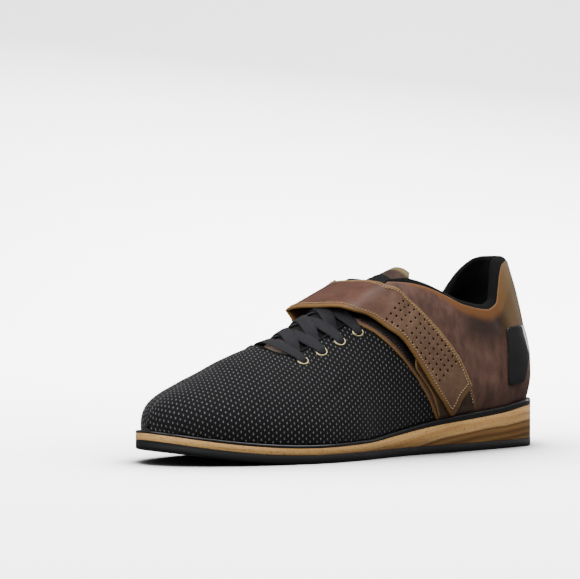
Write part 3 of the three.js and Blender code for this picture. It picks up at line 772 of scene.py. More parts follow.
def quarter_front(side, rows, inset, drop):
    """Share of each row's front end, found by halving between the heel and the ball."""
    low, high = np.full(rows.shape, 0.3), np.full(rows.shape, 0.6)
    for _ in range(34):
        middle = (low + high) / 2
        station = station_of(middle)
        z = last_point(station, side, rows * top_around(station, side, inset, drop), inset)[..., 2]
        edge_height, edge_share = QUARTER_EDGE["height"], QUARTER_EDGE["share"]
        wanted = np.interp(z / CONE, edge_height, edge_share)
        ahead = middle > wanted
        high, low = np.where(ahead, middle, high), np.where(ahead, low, middle)
    return low


def quarter_grid(inset, drop):
    """Whole wrap: lateral front edge, round the heel, medial front edge; columns from sole to top."""
    rows = np.linspace(0, 1, QUARTER_ROWS)
    part = np.linspace(0, 1, QUARTER_COLUMNS)
    halves = []
    for side in (1.0, -1.0):
        front = station_of(quarter_front(side, rows, inset, drop))
        station = part[:, None] * front[None]
        top = top_around(station, side, inset, drop)
        halves.append(last_point(station, side, rows[None] * top, inset))
    return np.concatenate([halves[0][::-1], halves[1][1:]], axis=0)


def height_below_top(grid):
    return topline(share_at(grid[..., 0])) - grid[..., 2]


quarter_outer = creased(quarter_grid(-QUARTER_STEP, LEATHER_DROP), QUARTER_CREASES)
print("quarters:", quarter_outer.shape)

# %% [markdown]
# ## Lining
# The lining starts under the leather's top edge, rolls over the topline as a half ellipse and runs
# down inside over the collar's padding. One formula serves collar and slot, because the roll always
# points the way the section was going when it ended.

# %% Lining and its roll
LINING_FRONT = 0.55
ROLL_RISE = 3.7


def lining_half(side):
    """Rows from heel to instep; columns over the roll and down the padded inside."""
    share = share_of(np.linspace(0, station_of(LINING_FRONT), 120))
    station = station_of(share)
    at_outer = top_around(station, side, -0.7, LEATHER_DROP)
    at_inner = top_around(station, side, WALL, LEATHER_DROP)
    outer = last_point(station, side, at_outer, -0.7)
    inner = last_point(station, side, at_inner, WALL, padded=True)
    way = unit(outer - last_point(station, side, at_outer - 0.02, -0.7))
    turn = np.linspace(0, np.pi, 15)[None, :, None]
    middle, half = (outer + inner) / 2, (outer - inner) / 2
    roll = middle[:, None] + np.cos(turn) * half[:, None] + ROLL_RISE * np.sin(turn) * way[:, None]
    down = at_inner[:, None] * np.linspace(1, 0, 34)[None, 1:]
    wall = last_point(station[:, None], side, down, WALL, padded=True)
    return np.concatenate([roll, wall], axis=1)


def make_lining():
    lateral, medial = lining_half(1.0), lining_half(-1.0)
    grid = np.concatenate([lateral[::-1], medial[1:]], axis=0)
    run = arc_lengths(grid, 1)
    uv = np.stack([np.broadcast_to(grid[..., :1, 0], run.shape), run], axis=-1)
    return sheet("collar_lining", grid, 0.5, inside=True, uv=uv)


# %% [markdown]
# ## Tongue
# A padded strip under the laces that follows the last and lifts away towards its free end, where
# its pale raw edge and a black woven label stand behind the strap.

# %% Tongue
TONGUE_THICKNESS = 3.4
TONGUE_FRONT = 80
TONGUE_BACK = -46
TONGUE_HEIGHT = 119
TONGUE_HALF = 27
TONGUE_INSET = WALL + 1
TONGUE_SWELL = 2.7
TONGUE_WIDTH = table(
    "share half",
    (0, 0.42), (0.03, 0.55), (0.1, 0.66), (0.25, 0.82), (0.45, 0.98), (0.7, 1), (1, 0.93))


def tongue_crest(share):
    x = x_of(share)
    under = last_crest(share) - TONGUE_INSET
    rear = np.clip(x / TONGUE_BACK, 0, 1)
    own = lerp(last_crest(0.5) - TONGUE_INSET - 2, TONGUE_HEIGHT, rear ** 0.8)
    return lerp(own, under, smooth(x, 0, 14))


def tongue_point(along, across, rise=0.0):
    x = lerp(TONGUE_BACK, TONGUE_FRONT, along)
    share = share_at(x)
    half = TONGUE_HALF * read(TONGUE_WIDTH, "half", along)
    y = ridge(share) + lerp(half, -half, across)
    flatter = lerp(1, 0.6, smooth(-x, 0, -TONGUE_BACK))
    crest = tongue_crest(share)
    full = surface_height(x, y, TONGUE_INSET, lambda s: tongue_crest(s) + TONGUE_INSET)
    return np.stack([x, y, crest - (crest - full) * flatter + rise], axis=-1)


def parameter_grid(rows, columns, low=(0, 0), high=(1, 1)):
    """Two grids of even values, the first running down the rows and the second along the columns."""
    down, over = np.linspace(low[0], high[0], rows), np.linspace(low[1], high[1], columns)
    return np.meshgrid(down, over, indexing="ij")


def make_tongue():
    """It swells between the laces, which press on both of its sides."""
    along, across = parameter_grid(90, 30, low=(0.012, 0.03), high=(1, 0.97))
    grid = tongue_point(along, across)
    from_ridge = np.abs(grid[..., 1] - ridge(share_at(grid[..., 0])))
    under_laces = smooth(grid[..., 0], -12, 4) * (1 - smooth(grid[..., 0], 48, 62))
    grid[..., 2] += TONGUE_SWELL * under_laces * (1 - smooth(from_ridge, 9, 18))
    uv = np.stack([arc_lengths(grid, 0), arc_lengths(grid, 1)], axis=-1)
    return sheet("tongue_leather", grid, TONGUE_THICKNESS, uv=uv)


def make_label():
    along, across = parameter_grid(16, 24, low=(0.125, 0.16), high=(0.25, 0.84))
    grid = tongue_point(along, across, 0.45)
    uv = np.stack([arc_lengths(grid, 0), arc_lengths(grid, 1)], axis=-1)
    return sheet("tongue_tab", grid, 0.8, uv=uv)


# %% [markdown]
# ## Laces and eyelets
# A flat lace is a band 8.6 mm wide. Each strand comes up from under the slot's edge, crosses
# over the tongue and dives into the next eyelet of the other side, where it is gathered narrow.

# %% Laces
LACE_WIDTH = 8.6
LACE_THICKNESS = 1.15
LACE_REACH = 1.5
LACE_LEVEL = 1.35
LACE_DIVE = 3.6
DIVE_LENGTH = 2.8
LACE_GATHER = 0.3
LACE_SWELL = 0.7
EYELET_RING = 3.9
EYELET_BORE = 2.75


def eyelet_place(pair, side):
    x = FIRST_EYELET - EYELET_PITCH * pair
    y = ridge(share_at(x)) + side * (THROAT_HALF + EYELET_MARGIN)
    return np.array([x, y])


def band(path, normals, width, thickness, sides=14):
    """Closed flat band: a squared ellipse of width and thickness carried along a path."""
    tangent = unit(np.gradient(path, axis=0))
    across = unit(np.cross(normals, tangent))
    rise = np.cross(tangent, across)
    turn = np.linspace(0, 2 * np.pi, sides, endpoint=False)
    flat = np.sign(np.cos(turn)) * np.abs(np.cos(turn)) ** 0.7
    tall = np.sign(np.sin(turn)) * np.abs(np.sin(turn)) ** 0.55
    ring = (path[:, None] + (width / 2)[:, None, None] * flat[None, :, None] * across[:, None]
            + (thickness / 2)[:, None, None] * tall[None, :, None] * rise[:, None])
    run = np.r_[0, np.cumsum(np.linalg.norm(np.diff(path, axis=0), axis=1))]
    uv = np.stack([np.repeat(run[:, None], sides, 1), flat[None] * width[:, None] / 2], axis=-1)
    faces = list(grid_faces(len(path), sides, closed=True))
    faces.append(np.arange(sides)[::-1])
    faces.append((len(path) - 1) * sides + np.arange(sides))
    return ring.reshape(-1, 3), faces, uv.reshape(-1, 2)


def strand(start, end, lift, narrow_start, bow=0.0, steps=46):
    """Path over the last between two plan places; it dives into the eyelet at its end."""
    way = (end - start) / np.linalg.norm(end - start)
    end = end + LACE_REACH * way
    if narrow_start:
        start = start - LACE_REACH * way
    t = np.linspace(0, 1, steps) ** 0.85
    plan = start + (end - start) * t[:, None]
    plan[:, 0] += bow * np.sin(np.pi * t) ** 1.2
    height = surface_height(plan[:, 0], plan[:, 1])
    normals = surface_normal(plan[:, 0], plan[:, 1])
    span = np.linalg.norm(end - start)
    dive = 1 - DIVE_LENGTH / span
    dive_end = np.clip((t - dive) / (1 - dive), 0, 1) ** 2
    dive_start = (1 - np.clip(t / (1 - dive), 0, 1)) ** 2 if narrow_start else 1 - smooth(t, 0, 0.16)
    level = LACE_LEVEL + lift * np.sin(np.pi * t) - LACE_DIVE * dive_end - LACE_DIVE * dive_start
    path = np.column_stack([plan, height]) + normals * level[:, None]
    width = LACE_WIDTH * (1 - LACE_GATHER * smooth(t, 0.78, 0.98))
    if narrow_start:
        width = width * (1 - LACE_GATHER * (1 - smooth(t, 0.02, 0.22)))
    gathered = smooth(t, 0.75, 1)
    if narrow_start:
        gathered = gathered + 1 - smooth(t, 0, 0.25)
    return band(path, normals, width, LACE_THICKNESS * (1 + LACE_SWELL * gathered))


def make_laces():
    """The bar at the front, then one strand from each side at every crossing."""
    parts = [strand(eyelet_place(0, -1), eyelet_place(0, 1), -0.6, True, bow=7.5)]
    for pair in range(EYELET_PAIRS - 1):
        for side, lift in ((-1, -0.7), (1, 0.7)):
            start = eyelet_place(pair, side) - [0, side * EYELET_MARGIN * 1.25]
            parts.append(strand(start, eyelet_place(pair + 1, -side), lift, False))
    points, faces, uv, count = [], [], [], 0
    for part_points, part_faces, part_uv in parts:
        points.append(part_points)
        faces += [np.asarray(f) + count for f in part_faces]
        uv.append(part_uv)
        count += len(part_points)
    made = new_mesh("flat_laces", np.concatenate(points), faces, np.concatenate(uv))
    return recalculate(made)


def frames_at(places, normals):
    """Two unit directions in the surface for each place."""
    first = unit(np.cross(normals, [0.0, 1.0, 0.0]))
    return first, np.cross(normals, first)


def lathe_many(name, profile, places, normals, sides, closed_profile=True):
    """One turned profile of (radius, height) rows set at many places along their normals."""
    profile = np.asarray(profile, float)
    first, second = frames_at(places, normals)
    turn = np.linspace(0, 2 * np.pi, sides, endpoint=False)
    wheel = np.cos(turn)[:, None] * first[:, None] + np.sin(turn)[:, None] * second[:, None]
    ring = (places[:, None, None] + profile[None, :, None, 0:1] * wheel[:, None]
            + profile[None, :, None, 1:2] * normals[:, None, None])
    rows = len(profile)
    faces = grid_faces(rows, sides, closed=True)
    if closed_profile:
        j = np.arange(sides)
        k = (j + 1) % sides
        last = (rows - 1) * sides
        faces = np.concatenate([faces, np.stack([last + j, last + k, k, j], axis=-1)])
    faces = (faces[None] + (np.arange(len(places)) * rows * sides)[:, None, None]).reshape(-1, 4)
    return recalculate(new_mesh(name, ring.reshape(-1, 3), faces))


def eyelet_frames():
    """Place and normal of every eyelet, on the forefoot's surface."""
    plan = np.array([eyelet_place(pair, side) for pair in range(EYELET_PAIRS) for side in (1, -1)])
    normals = surface_normal(plan[:, 0], plan[:, 1])
    return np.column_stack([plan, surface_height(plan[:, 0], plan[:, 1])]), normals


def make_eyelets():
    places, normals = eyelet_frames()
    profile = [
        (EYELET_BORE, -0.6), (EYELET_BORE, 0.2), (EYELET_BORE + 0.15, 0.55), (EYELET_BORE + 0.45, 0.75),
        (EYELET_RING - 0.3, 0.6), (EYELET_RING, 0.2), (EYELET_RING, -0.1), (EYELET_BORE + 0.4, -0.6)]
    return lathe_many("eyelet_rings", profile, places, normals, 32)


# %% [markdown]
# ## Strap
# The instep strap is a leather band sewn on a black backing. It lies on the quarter low down and
# bridges the laces on a higher, squarer form; between the two the surface is a blend. A place on
# it is given by share (heel to toe) and around (lateral sole edge 0, crest 0.5, medial edge 1).

# %% Strap
STRAP_THICKNESS = 2.4
PAD_THICKNESS = 1.0
PATCH_THICKNESS = 0.9
PAD_LEVEL = QUARTER_STEP + SEAM + PAD_THICKNESS
STRAP_LEVEL = PAD_LEVEL + 2 * SEAM + STRAP_THICKNESS
STRAP_CREST = 106.5
STRAP_SLOPE = 0.47
BRIDGE_POWER = 2.9
MEDIAL_BRIDGE_POWER = 3.9
MEDIAL_PUSH = 8.5
MEDIAL_DROP = 2.4
HOLE_RADIUS = 0.75
PEG_DEPTH = 3.2
PEG_RISE = 0.6
BRIDGE_START = 0.22
BRIDGE_FULL = 0.44
STRAP_END = 0.985
SEAM_INSET = 0.095
SEAM_START = 0.013
STRAP_EDGES = table(
    "share front rear",
    (0, 0.316, 0.2), (0.05, 0.362, 0.2565), (0.1, 0.4, 0.2865), (0.15, 0.434, 0.329), (0.2, 0.464, 0.374),
    (0.25, 0.49, 0.414), (0.3, 0.517, 0.44), (0.35, 0.549, 0.456), (0.4, 0.568, 0.462), (0.5, 0.585, 0.471),
    (0.6, 0.585, 0.458), (0.7, 0.572, 0.442), (0.8, 0.548, 0.426), (1, 0.5, 0.4))
STRAP_TIP = table(
    "share around",
    (0, 0.005), (0.05, 0), (0.13, 0.003), (0.5, 0.025), (0.95, 0.046), (1, 0.051))
PAD_EDGES = table(
    "share front rear",
    (0.008, 0.347, 0.232), (0.05, 0.369, 0.255), (0.09, 0.4, 0.3), (0.108, 0.411, 0.318),
    (0.14, 0.405, 0.335), (0.2, 0.415, 0.38))
PATCH_EDGES = table(
    "share front rear",
    (0.037, 0.123, 0.08), (0.047, 0.13, 0.07), (0.142, 0.116, 0.042), (0.152, 0.108, 0.05))
PERFORATION = table(
    "row share_rear around_rear share_front around_front",
    (0, 0.429, 0.245, 0.4773, 0.2498), (4, 0.3788, 0.1882, 0.4348, 0.1668),
    (8, 0.3378, 0.1409, 0.3904, 0.1148), (12, 0.3041, 0.0974, 0.3539, 0.0693))


def strap_crest(share):
    return np.minimum(STRAP_CREST - STRAP_SLOPE * x_of(share), CONE) - STRAP_LEVEL


def wrapped(share, around, inset, crest=last_crest, power=last_power):
    """A point by share and by how far around the whole section, lateral base 0 to medial base 1."""
    side = np.where(around <= 0.5, 1.0, -1.0)
    up_side = np.where(side > 0, 2 * around, 2 - 2 * around)
    return last_point(station_of(share), side, up_side, inset, crest, power)


def strap_surface(share, around, inset):
    """The two halves meet half way between their ends on the crest, so no step shows there."""
    share, around = np.broadcast_arrays(share, around)
    meeting = [strap_half(share, np.full(share.shape, 0.5 + turn), inset) for turn in (-1e-9, 1e-9)]
    shift = (meeting[1] - meeting[0]) / 2 * smooth(0.5 - np.abs(around - 0.5), 0.3, 0.5)[..., None]
    return strap_half(share, around, inset) + shift * np.where(around <= 0.5, 1, -1)[..., None]


def bridge_power(share, side):
    return np.where(side > 0, BRIDGE_POWER, MEDIAL_BRIDGE_POWER) + 0 * share


def strap_half(share, around, inset):
    """Blend of the form on the quarter and the bridge, which leans over to the medial side."""
    low = wrapped(share, around, inset)
    high = wrapped(share, around, inset, strap_crest, bridge_power)
    high[..., 1] -= MEDIAL_PUSH * smooth(around, 0.4, 0.56)
    high[..., 2] -= MEDIAL_DROP * smooth(around, 0.44, 0.6)
    from_side = 0.5 - np.abs(around - 0.5)
    return low + (high - low) * smooth(from_side, BRIDGE_START, BRIDGE_FULL)[..., None]


def strap_place(along, across):
    """Share and around of a place on the strap, free end to medial end, front edge to rear edge."""
    around = lerp(read(STRAP_TIP, "around", across), STRAP_END, along)
    share = lerp(read(STRAP_EDGES, "front", around), read(STRAP_EDGES, "rear", around), across)
    return share, around


def strap_grid(along, across, rise=0.0):
    share, around = strap_place(along, across)
    return strap_surface(share, around, -(STRAP_LEVEL + rise))


def edge_distance(grid, sides=(0, 1, 2, 3)):
    """How far each point lies from the nearest of the named sides of its grid, in mm."""
    down, over = arc_lengths(grid, 0), arc_lengths(grid, 1)
    all_sides = [down, down[-1:] - down, over, over[:, -1:] - over]
    return np.min([all_sides[i] for i in sides], axis=0)


def make_strap():
    along, across = parameter_grid(230, 32, low=(0.004, 0.036), high=(1, 0.964))
    grid = strap_grid(along, across)
    uv = np.stack([arc_lengths(grid, 0), arc_lengths(grid, 1)], axis=-1)
    grid = creased(grid, STRAP_CREASES, uv[..., 0], uv[..., 1])
    edge = edge_distance(grid, (0, 2, 3))
    return sheet("instep_strap", grid, STRAP_THICKNESS, uv=uv, floats={"edge": edge})


def perforate(made):
    """Cuts the holes with short dark pegs."""
    places, normals = perforation_places()
    profile = [(0, -PEG_DEPTH), (HOLE_RADIUS, -PEG_DEPTH), (HOLE_RADIUS, PEG_RISE), (0, PEG_RISE)]
    pegs = lathe_many("pegs", profile, places, normals, 10, closed_profile=False)
    recalculate(pegs, merge=0.01)
    pegs.data.materials.append(backing.material)
    cut = made.modifiers.new("holes", "BOOLEAN")
    cut.operation = "DIFFERENCE"
    cut.solver = "MANIFOLD"
    cut.material_mode = "TRANSFER"
    cut.object = pegs
    bpy.context.view_layer.update()
    graph = bpy.context.evaluated_depsgraph_get()
    result = bpy.data.meshes.new_from_object(made.evaluated_get(graph), depsgraph=graph)
    made.modifiers.clear()
    made.data = result
    bpy.data.objects.remove(pegs)
    print("perforated to", len(result.vertices), "points")


def perforation_places():
    """Thirteen slanted rows of five holes, on the strap's outer face, with their normals."""
    row, k = np.meshgrid(np.arange(13), np.linspace(0, 1, 5), indexing="ij")
    ends = {key: np.interp(row, PERFORATION["row"], column) for key, column in PERFORATION.items()}
    share = lerp(ends["share_rear"], ends["share_front"], k).ravel()
    around = lerp(ends["around_rear"], ends["around_front"], k).ravel()
    place = strap_surface(share, around, -STRAP_LEVEL)
    step = 0.004
    normal = unit(np.cross(strap_surface(share, around + step, -STRAP_LEVEL) - place,
                           strap_surface(share + step, around, -STRAP_LEVEL) - place))
    return place, normal * np.where(normal[:, 1:2] > 0, 1, -1)


# %% Pad and heel patch


def make_pad():
    """The leather that the strap's free end lands on."""
    around, across = parameter_grid(40, 24, low=(0.004, 0.02), high=(0.196, 0.98))
    share = lerp(read(PAD_EDGES, "front", around), read(PAD_EDGES, "rear", around), across)
    grid = wrapped(share, around, -PAD_LEVEL)
    uv = np.stack([arc_lengths(grid, 0), arc_lengths(grid, 1)], axis=-1)
    edge = edge_distance(grid, (1, 2, 3))
    return sheet("strap_landing_pad", grid, PAD_THICKNESS, uv=uv, floats={"edge": edge})


def make_patch():
    """Its square grid is drawn in at the corners, so that they are round."""
    u, v = parameter_grid(30, 30, low=(-1, -1))
    across, height = u * np.sqrt(1 - 0.14 * v ** 6), v * np.sqrt(1 - 0.1 * u ** 6)
    around = lerp(PATCH_EDGES["share"][0], PATCH_EDGES["share"][-1], (height + 1) / 2)
    middle = np.clip(around, 0.047, 0.142)
    front, rear = read(PATCH_EDGES, "front", middle), read(PATCH_EDGES, "rear", middle)
    grid = wrapped(lerp(front, rear, (across + 1) / 2), around, -(QUARTER_STEP + SEAM + PATCH_THICKNESS))
    return sheet("heel_plate", grid, PATCH_THICKNESS)


# %% [markdown]
# ## Stitches
# Thread shows as short raised dashes that sink into the leather at both ends. Each is a small
# six-sided tube bent over five points, and all the dashes of a seam are one mesh. A seam is a path
# in mm with the surface's normals.

# %% Stitch maker
THREAD = 0.35
STITCH = 1.45
STITCH_GAP = 0.6
STITCH_PITCH = STITCH + STITCH_GAP
SEAM_BACK = 0.0085


def stitches(path, normals):
    """Points and faces of dashes at even distances along a path."""
    run = np.r_[0, np.cumsum(np.linalg.norm(np.diff(path, axis=0), axis=1))]
    count = int((run[-1] - STITCH_GAP) // STITCH_PITCH)
    starts = STITCH_GAP + np.arange(count) * STITCH_PITCH
    at = starts[:, None] + np.linspace(0, STITCH, 5)[None]
    place = np.stack([np.interp(at, run, path[:, i]) for i in range(3)], axis=-1)
    normal = unit(np.stack([np.interp(at, run, normals[:, i]) for i in range(3)], axis=-1))
    place = place + normal * (THREAD * np.array([-0.9, 0.35, 0.6, 0.35, -0.9]))[None, :, None]
    tangent = unit(np.gradient(place, axis=1))
    across = unit(np.cross(normal, tangent))
    turn = np.linspace(0, 2 * np.pi, 6, endpoint=False)
    wheel = np.cos(turn)[:, None] * across[:, :, None] + np.sin(turn)[:, None] * normal[:, :, None]
    ring = place[:, :, None] + THREAD * wheel
    first = np.arange(count) * 30
    faces = (grid_faces(5, 6, closed=True)[None] + first[:, None, None]).reshape(-1, 4)
    caps = np.concatenate([np.arange(5, -1, -1) + first[:, None], np.arange(24, 30) + first[:, None]])
    return ring.reshape(-1, 3), list(faces) + list(caps)


def stitch_piece(name, seams):
    points, faces, count = [], [], 0
    for path, normals in seams:
        part_points, part_faces = stitches(path, normals)
        points.append(part_points)
        faces += [np.asarray(f) + count for f in part_faces]
        count += len(part_points)
    return recalculate(new_mesh(name, np.concatenate(points), faces))


def strap_seams():
    """Down one long edge, across the free end and up the other, just inside the edge."""
    t = np.linspace(SEAM_START, 0.99, 400)
    edge = np.linspace(0.1, 0.9, 60)
    tip = np.full(60, SEAM_START)
    along = np.r_[t[::-1], tip, t]
    across = np.r_[np.full(400, SEAM_INSET), edge, np.full(400, 1 - SEAM_INSET)]
    path = strap_grid(along, across)
    normal = unit(strap_grid(along, across, 1.0) - strap_grid(along, across, 0.0))
    return [(path, normal)]


def quarter_seams():
    """Up each front edge, a little behind it."""
    rows = np.linspace(0.03, 0.97, 200)
    seams = []
    for side in (1.0, -1.0):
        front = station_of(quarter_front(side, rows, -QUARTER_STEP, LEATHER_DROP) - SEAM_BACK)
        around = rows * top_around(front, side, -QUARTER_STEP, LEATHER_DROP)
        path = last_point(front, side, around, -QUARTER_STEP)
        normal = unit(last_point(front, side, around, -QUARTER_STEP - 1.0) - path)
        seams.append((path, normal))
    return seams


def pad_seams():
    """Down the rear edge, where it shows behind the strap."""
    around = np.linspace(0.015, 0.06, 60)
    rear = lerp(read(PAD_EDGES, "front", around), read(PAD_EDGES, "rear", around), 0.93)
    path = wrapped(rear, around, -PAD_LEVEL)
    return [(path, unit(wrapped(rear, around, -PAD_LEVEL - 1.0) - path))]


# %% [markdown]
# ## Finishes
# Colours are sRGB as read from a photo, turned to linear values. Patterns are scaled from their real
# size in millimetres and read the piece's own UV map in millimetres, or its place on the shoe.

# %% Material helpers


def colour(hex_text):
    """sRGB hex to linear RGBA."""
    values = [int(hex_text[i:i + 2], 16) / 255 for i in (1, 3, 5)]
    return [v / 12.92 if v <= 0.04045 else ((v + 0.055) / 1.055) ** 2.4 for v in values] + [1.0]


class Finish:
    """A Principled material and short calls for the nodes that feed it."""

    def __init__(self, name, base, roughness=0.5, **inputs):
        self.material = bpy.data.materials.new(name)
        self.material.use_nodes = True
        self.tree = self.material.node_tree
        self.shader = self.tree.nodes["Principled BSDF"]
        self.set("Base Color", colour(base))
        self.set("Roughness", roughness)
        for key, value in inputs.items():
            self.set(key.replace("_", " "), value)

    def set(self, socket, value):
        target = self.shader.inputs[socket]
        if isinstance(value, bpy.types.NodeSocket):
            self.tree.links.new(value, target)
        else:
            target.default_value = value

    def node(self, kind, output=0, settings=None, **inputs):
        """One output of a new node. An input called i2 is its socket 2, others go by their name."""
        made = self.tree.nodes.new(kind)
        for key, value in (settings or {}).items():
            setattr(made, key, value)
        for key, value in inputs.items():
            numbered = key[0] == "i" and key[1:].isdigit()
            target = made.inputs[int(key[1:]) if numbered else key.replace("_", " ")]
            if isinstance(value, bpy.types.NodeSocket):
                self.tree.links.new(value, target)
            else:
                target.default_value = value
        return made.outputs[output]

    def maths(self, operation, a, b=0.0, c=0.0):
        return self.node("ShaderNodeMath", settings={"operation": operation}, i0=a, i1=b, i2=c)

    def place(self):
        """Place on the shoe in millimetres."""
        at = self.node("ShaderNodeTexCoord", 3)
        return self.node("ShaderNodeVectorMath", settings={"operation": "SCALE"}, i0=at, Scale=1000.0)

    def map_place(self):
        """Place on the piece's own map, in millimetres."""
        return self.node("ShaderNodeUVMap", settings={"uv_map": "UVMap"})

    def parts(self, vector):
        split = self.tree.nodes.new("ShaderNodeSeparateXYZ")
        self.tree.links.new(vector, split.inputs[0])
        return split.outputs

    def attribute(self, name):
        return self.node("ShaderNodeAttribute", 2, settings={"attribute_name": name})

    def noise(self, vector, size, detail=3.0, roughness=0.5, distortion=0.0):
        """Noise whose features are about size millimetres wide, 0 to 1."""
        return self.node("ShaderNodeTexNoise", Vector=vector, Scale=1.0 / size, Detail=detail,
                         Roughness=roughness, Distortion=distortion)

    def cells(self, vector, size, feature="F1", randomness=1.0):
        return self.node("ShaderNodeTexVoronoi", settings={"feature": feature}, Vector=vector,
                         Scale=1.0 / size, Randomness=randomness)

    def stretch(self, vector, scale):
        return self.node("ShaderNodeMapping", Vector=vector, Scale=scale)

    def ramp(self, value, *stops):
        """Colours or grey values at places from 0 to 1."""
        made = self.tree.nodes.new("ShaderNodeValToRGB")
        band_of = made.color_ramp
        while len(band_of.elements) < len(stops):
            band_of.elements.new(0.5)
        for element, (place, tone) in zip(band_of.elements, stops):
            element.position = place
            element.color = colour(tone) if isinstance(tone, str) else (tone, tone, tone, 1)
        self.tree.links.new(value, made.inputs[0])
        return made.outputs[0]

    def span(self, value, low, high, to_low=0.0, to_high=1.0, kind="SMOOTHSTEP"):
        """A value from low to high, brought smoothly from to_low to to_high."""
        return self.node("ShaderNodeMapRange", settings={"interpolation_type": kind}, Value=value,
                         i1=low, i2=high, i3=to_low, i4=to_high)

    def mix(self, share, a, b, blend="MIX"):
        made = self.tree.nodes.new("ShaderNodeMix")
        made.data_type = "RGBA"
        made.blend_type = blend
        for index, value in ((0, share), (6, a), (7, b)):
            if isinstance(value, bpy.types.NodeSocket):
                self.tree.links.new(value, made.inputs[index])
            else:
                made.inputs[index].default_value = colour(value) if isinstance(value, str) else value
        return made.outputs[2]

    def bump(self, height, depth, before=None):
        """Bump of a height in millimetres, on top of an earlier one."""
        made = self.tree.nodes.new("ShaderNodeBump")
        made.inputs["Strength"].default_value = 1.0
        made.inputs["Distance"].default_value = depth * MM
        self.tree.links.new(height, made.inputs["Height"])
        if before is not None:
            self.tree.links.new(before, made.inputs["Normal"])
        self.tree.links.new(made.outputs[0], self.shader.inputs["Normal"])
        return made.outputs[0]


def leather_grain(finish, place, coarse, depth, size=1.1):
    """Pebbled grain: cell edges over soft pores, the way tanned hide creases."""
    cells = finish.cells(place, size, "SMOOTH_F1")
    pores = finish.noise(place, size * 0.45, 4.0, 0.6)
    height = finish.maths("MULTIPLY_ADD", pores, 0.5, cells)
    soft = finish.bump(finish.noise(place, coarse, 3.0), depth * 5)
    return finish.bump(height, depth, soft)


# %% Leathers


def edge_strip(finish, width, wander=0.5):
    """1 on the worn strip along a cut edge, 0 inside, from the piece's own edge distance."""
    worn = finish.noise(finish.place(), 2.4, 3.0)
    distance = finish.maths("MULTIPLY_ADD", worn, wander, finish.attribute("edge"))
    return finish.span(distance, width + 0.5 * wander + 0.25, width + 0.5 * wander - 0.25)


quarter_leather = Finish("quarter leather", "#4a352d", 0.5)
place = quarter_leather.place()
x_y_z = quarter_leather.parts(place)
cloud = quarter_leather.noise(place, 24, 4.0, 0.6)
streak = quarter_leather.noise(quarter_leather.stretch(place, (1.0, 1.0, 0.4)), 8, 5.0, 0.65)
depth_below = quarter_leather.attribute("below")
rear = quarter_leather.span(x_y_z[0], -25.0, -80.0)
wave = quarter_leather.maths("MULTIPLY_ADD", cloud, 7.0, -3.5)
from_top = quarter_leather.maths("ADD", depth_below, wave)
band_width = quarter_leather.maths("MULTIPLY_ADD", rear, 5.8, 2.4)
tan = quarter_leather.span(quarter_leather.maths("DIVIDE", from_top, band_width), 1.35, 0.55)
burnish = quarter_leather.maths("MULTIPLY", quarter_leather.span(from_top, 30.0, 15.0),
                                quarter_leather.span(x_y_z[0], -68.0, -84.0))
behind = quarter_leather.span(x_y_z[0], -104.0, -122.0)
high = quarter_leather.span(quarter_leather.maths("ADD", x_y_z[2], wave), 66.0, 88.0)
heel_tan = quarter_leather.maths("MULTIPLY", behind, high)
base = quarter_leather.mix(quarter_leather.span(streak, 0.3, 0.72), "#5a3f35", "#805d50")
base = quarter_leather.mix(quarter_leather.maths("MULTIPLY", burnish, 0.85), base, "#2a170f")
base = quarter_leather.mix(quarter_leather.maths("MULTIPLY", tan, 0.9), base, "#8f5c2b")
base = quarter_leather.mix(quarter_leather.maths("MULTIPLY", heel_tan, 0.8), base, "#7a5c2c")
# Painted shade: a near-black band about 2 to 15 mm behind each front edge, above about 48 mm high, stands
# for the shade under the strap.
from_edge = quarter_leather.attribute("edge")
under_strap_shade = quarter_leather.maths("MULTIPLY", quarter_leather.span(from_edge, 1.6, 2.6),
                                quarter_leather.span(from_edge, 17.0, 12.0))
under_strap_shade = quarter_leather.maths("MULTIPLY", under_strap_shade, quarter_leather.span(x_y_z[2], 44.0, 52.0))
base = quarter_leather.mix(under_strap_shade, base, "#080708")
base = quarter_leather.mix(edge_strip(quarter_leather, 0.6), base, "#8f6c3a")
quarter_leather.set("Base Color", base)
quarter_leather.set("Roughness", quarter_leather.span(streak, 0.2, 0.8, 0.5, 0.62))
leather_grain(quarter_leather, place, 18, 0.06)

strap_leather = Finish("strap leather", "#6a4436", 0.4)
place = strap_leather.map_place()
from_tip = strap_leather.parts(place)[0]
cloud = strap_leather.noise(place, 20, 4.0, 0.6)
fine = strap_leather.noise(place, 3.2, 5.0, 0.65)
tone = strap_leather.maths("MULTIPLY_ADD", fine, 0.35, cloud)
far = strap_leather.ramp(tone, (0.45, "#523225"), (0.85, "#714a3b"))
near = strap_leather.ramp(tone, (0.45, "#694c3b"), (0.85, "#896a53"))
hide = strap_leather.mix(strap_leather.span(from_tip, 62.0, 110.0), near, far)
from_edge = strap_leather.maths("MULTIPLY_ADD", fine, 4.0, strap_leather.attribute("edge"))
rubbed = strap_leather.span(from_edge, 5.5, 2.5)
hide = strap_leather.mix(strap_leather.maths("MULTIPLY", rubbed, 0.3), hide, "#8f6838")
strap_leather.set("Base Color", strap_leather.mix(edge_strip(strap_leather, 0.45), hide, "#946f3d"))
strap_leather.set("Roughness", strap_leather.span(fine, 0.25, 0.75, 0.46, 0.6))
strap_leather.set("Specular IOR Level", 0.4)
leather_grain(strap_leather, place, 16, 0.06, 1.2)

pad_leather = Finish("pad leather", "#4d3a2c", 0.45)
place = pad_leather.map_place()
hide = pad_leather.ramp(pad_leather.noise(place, 8, 4.0, 0.6), (0.35, "#46342a"), (0.7, "#66503f"))
pad_leather.set("Base Color", pad_leather.mix(edge_strip(pad_leather, 0.5), hide, "#8f6c3a"))
leather_grain(pad_leather, place, 14, 0.06)

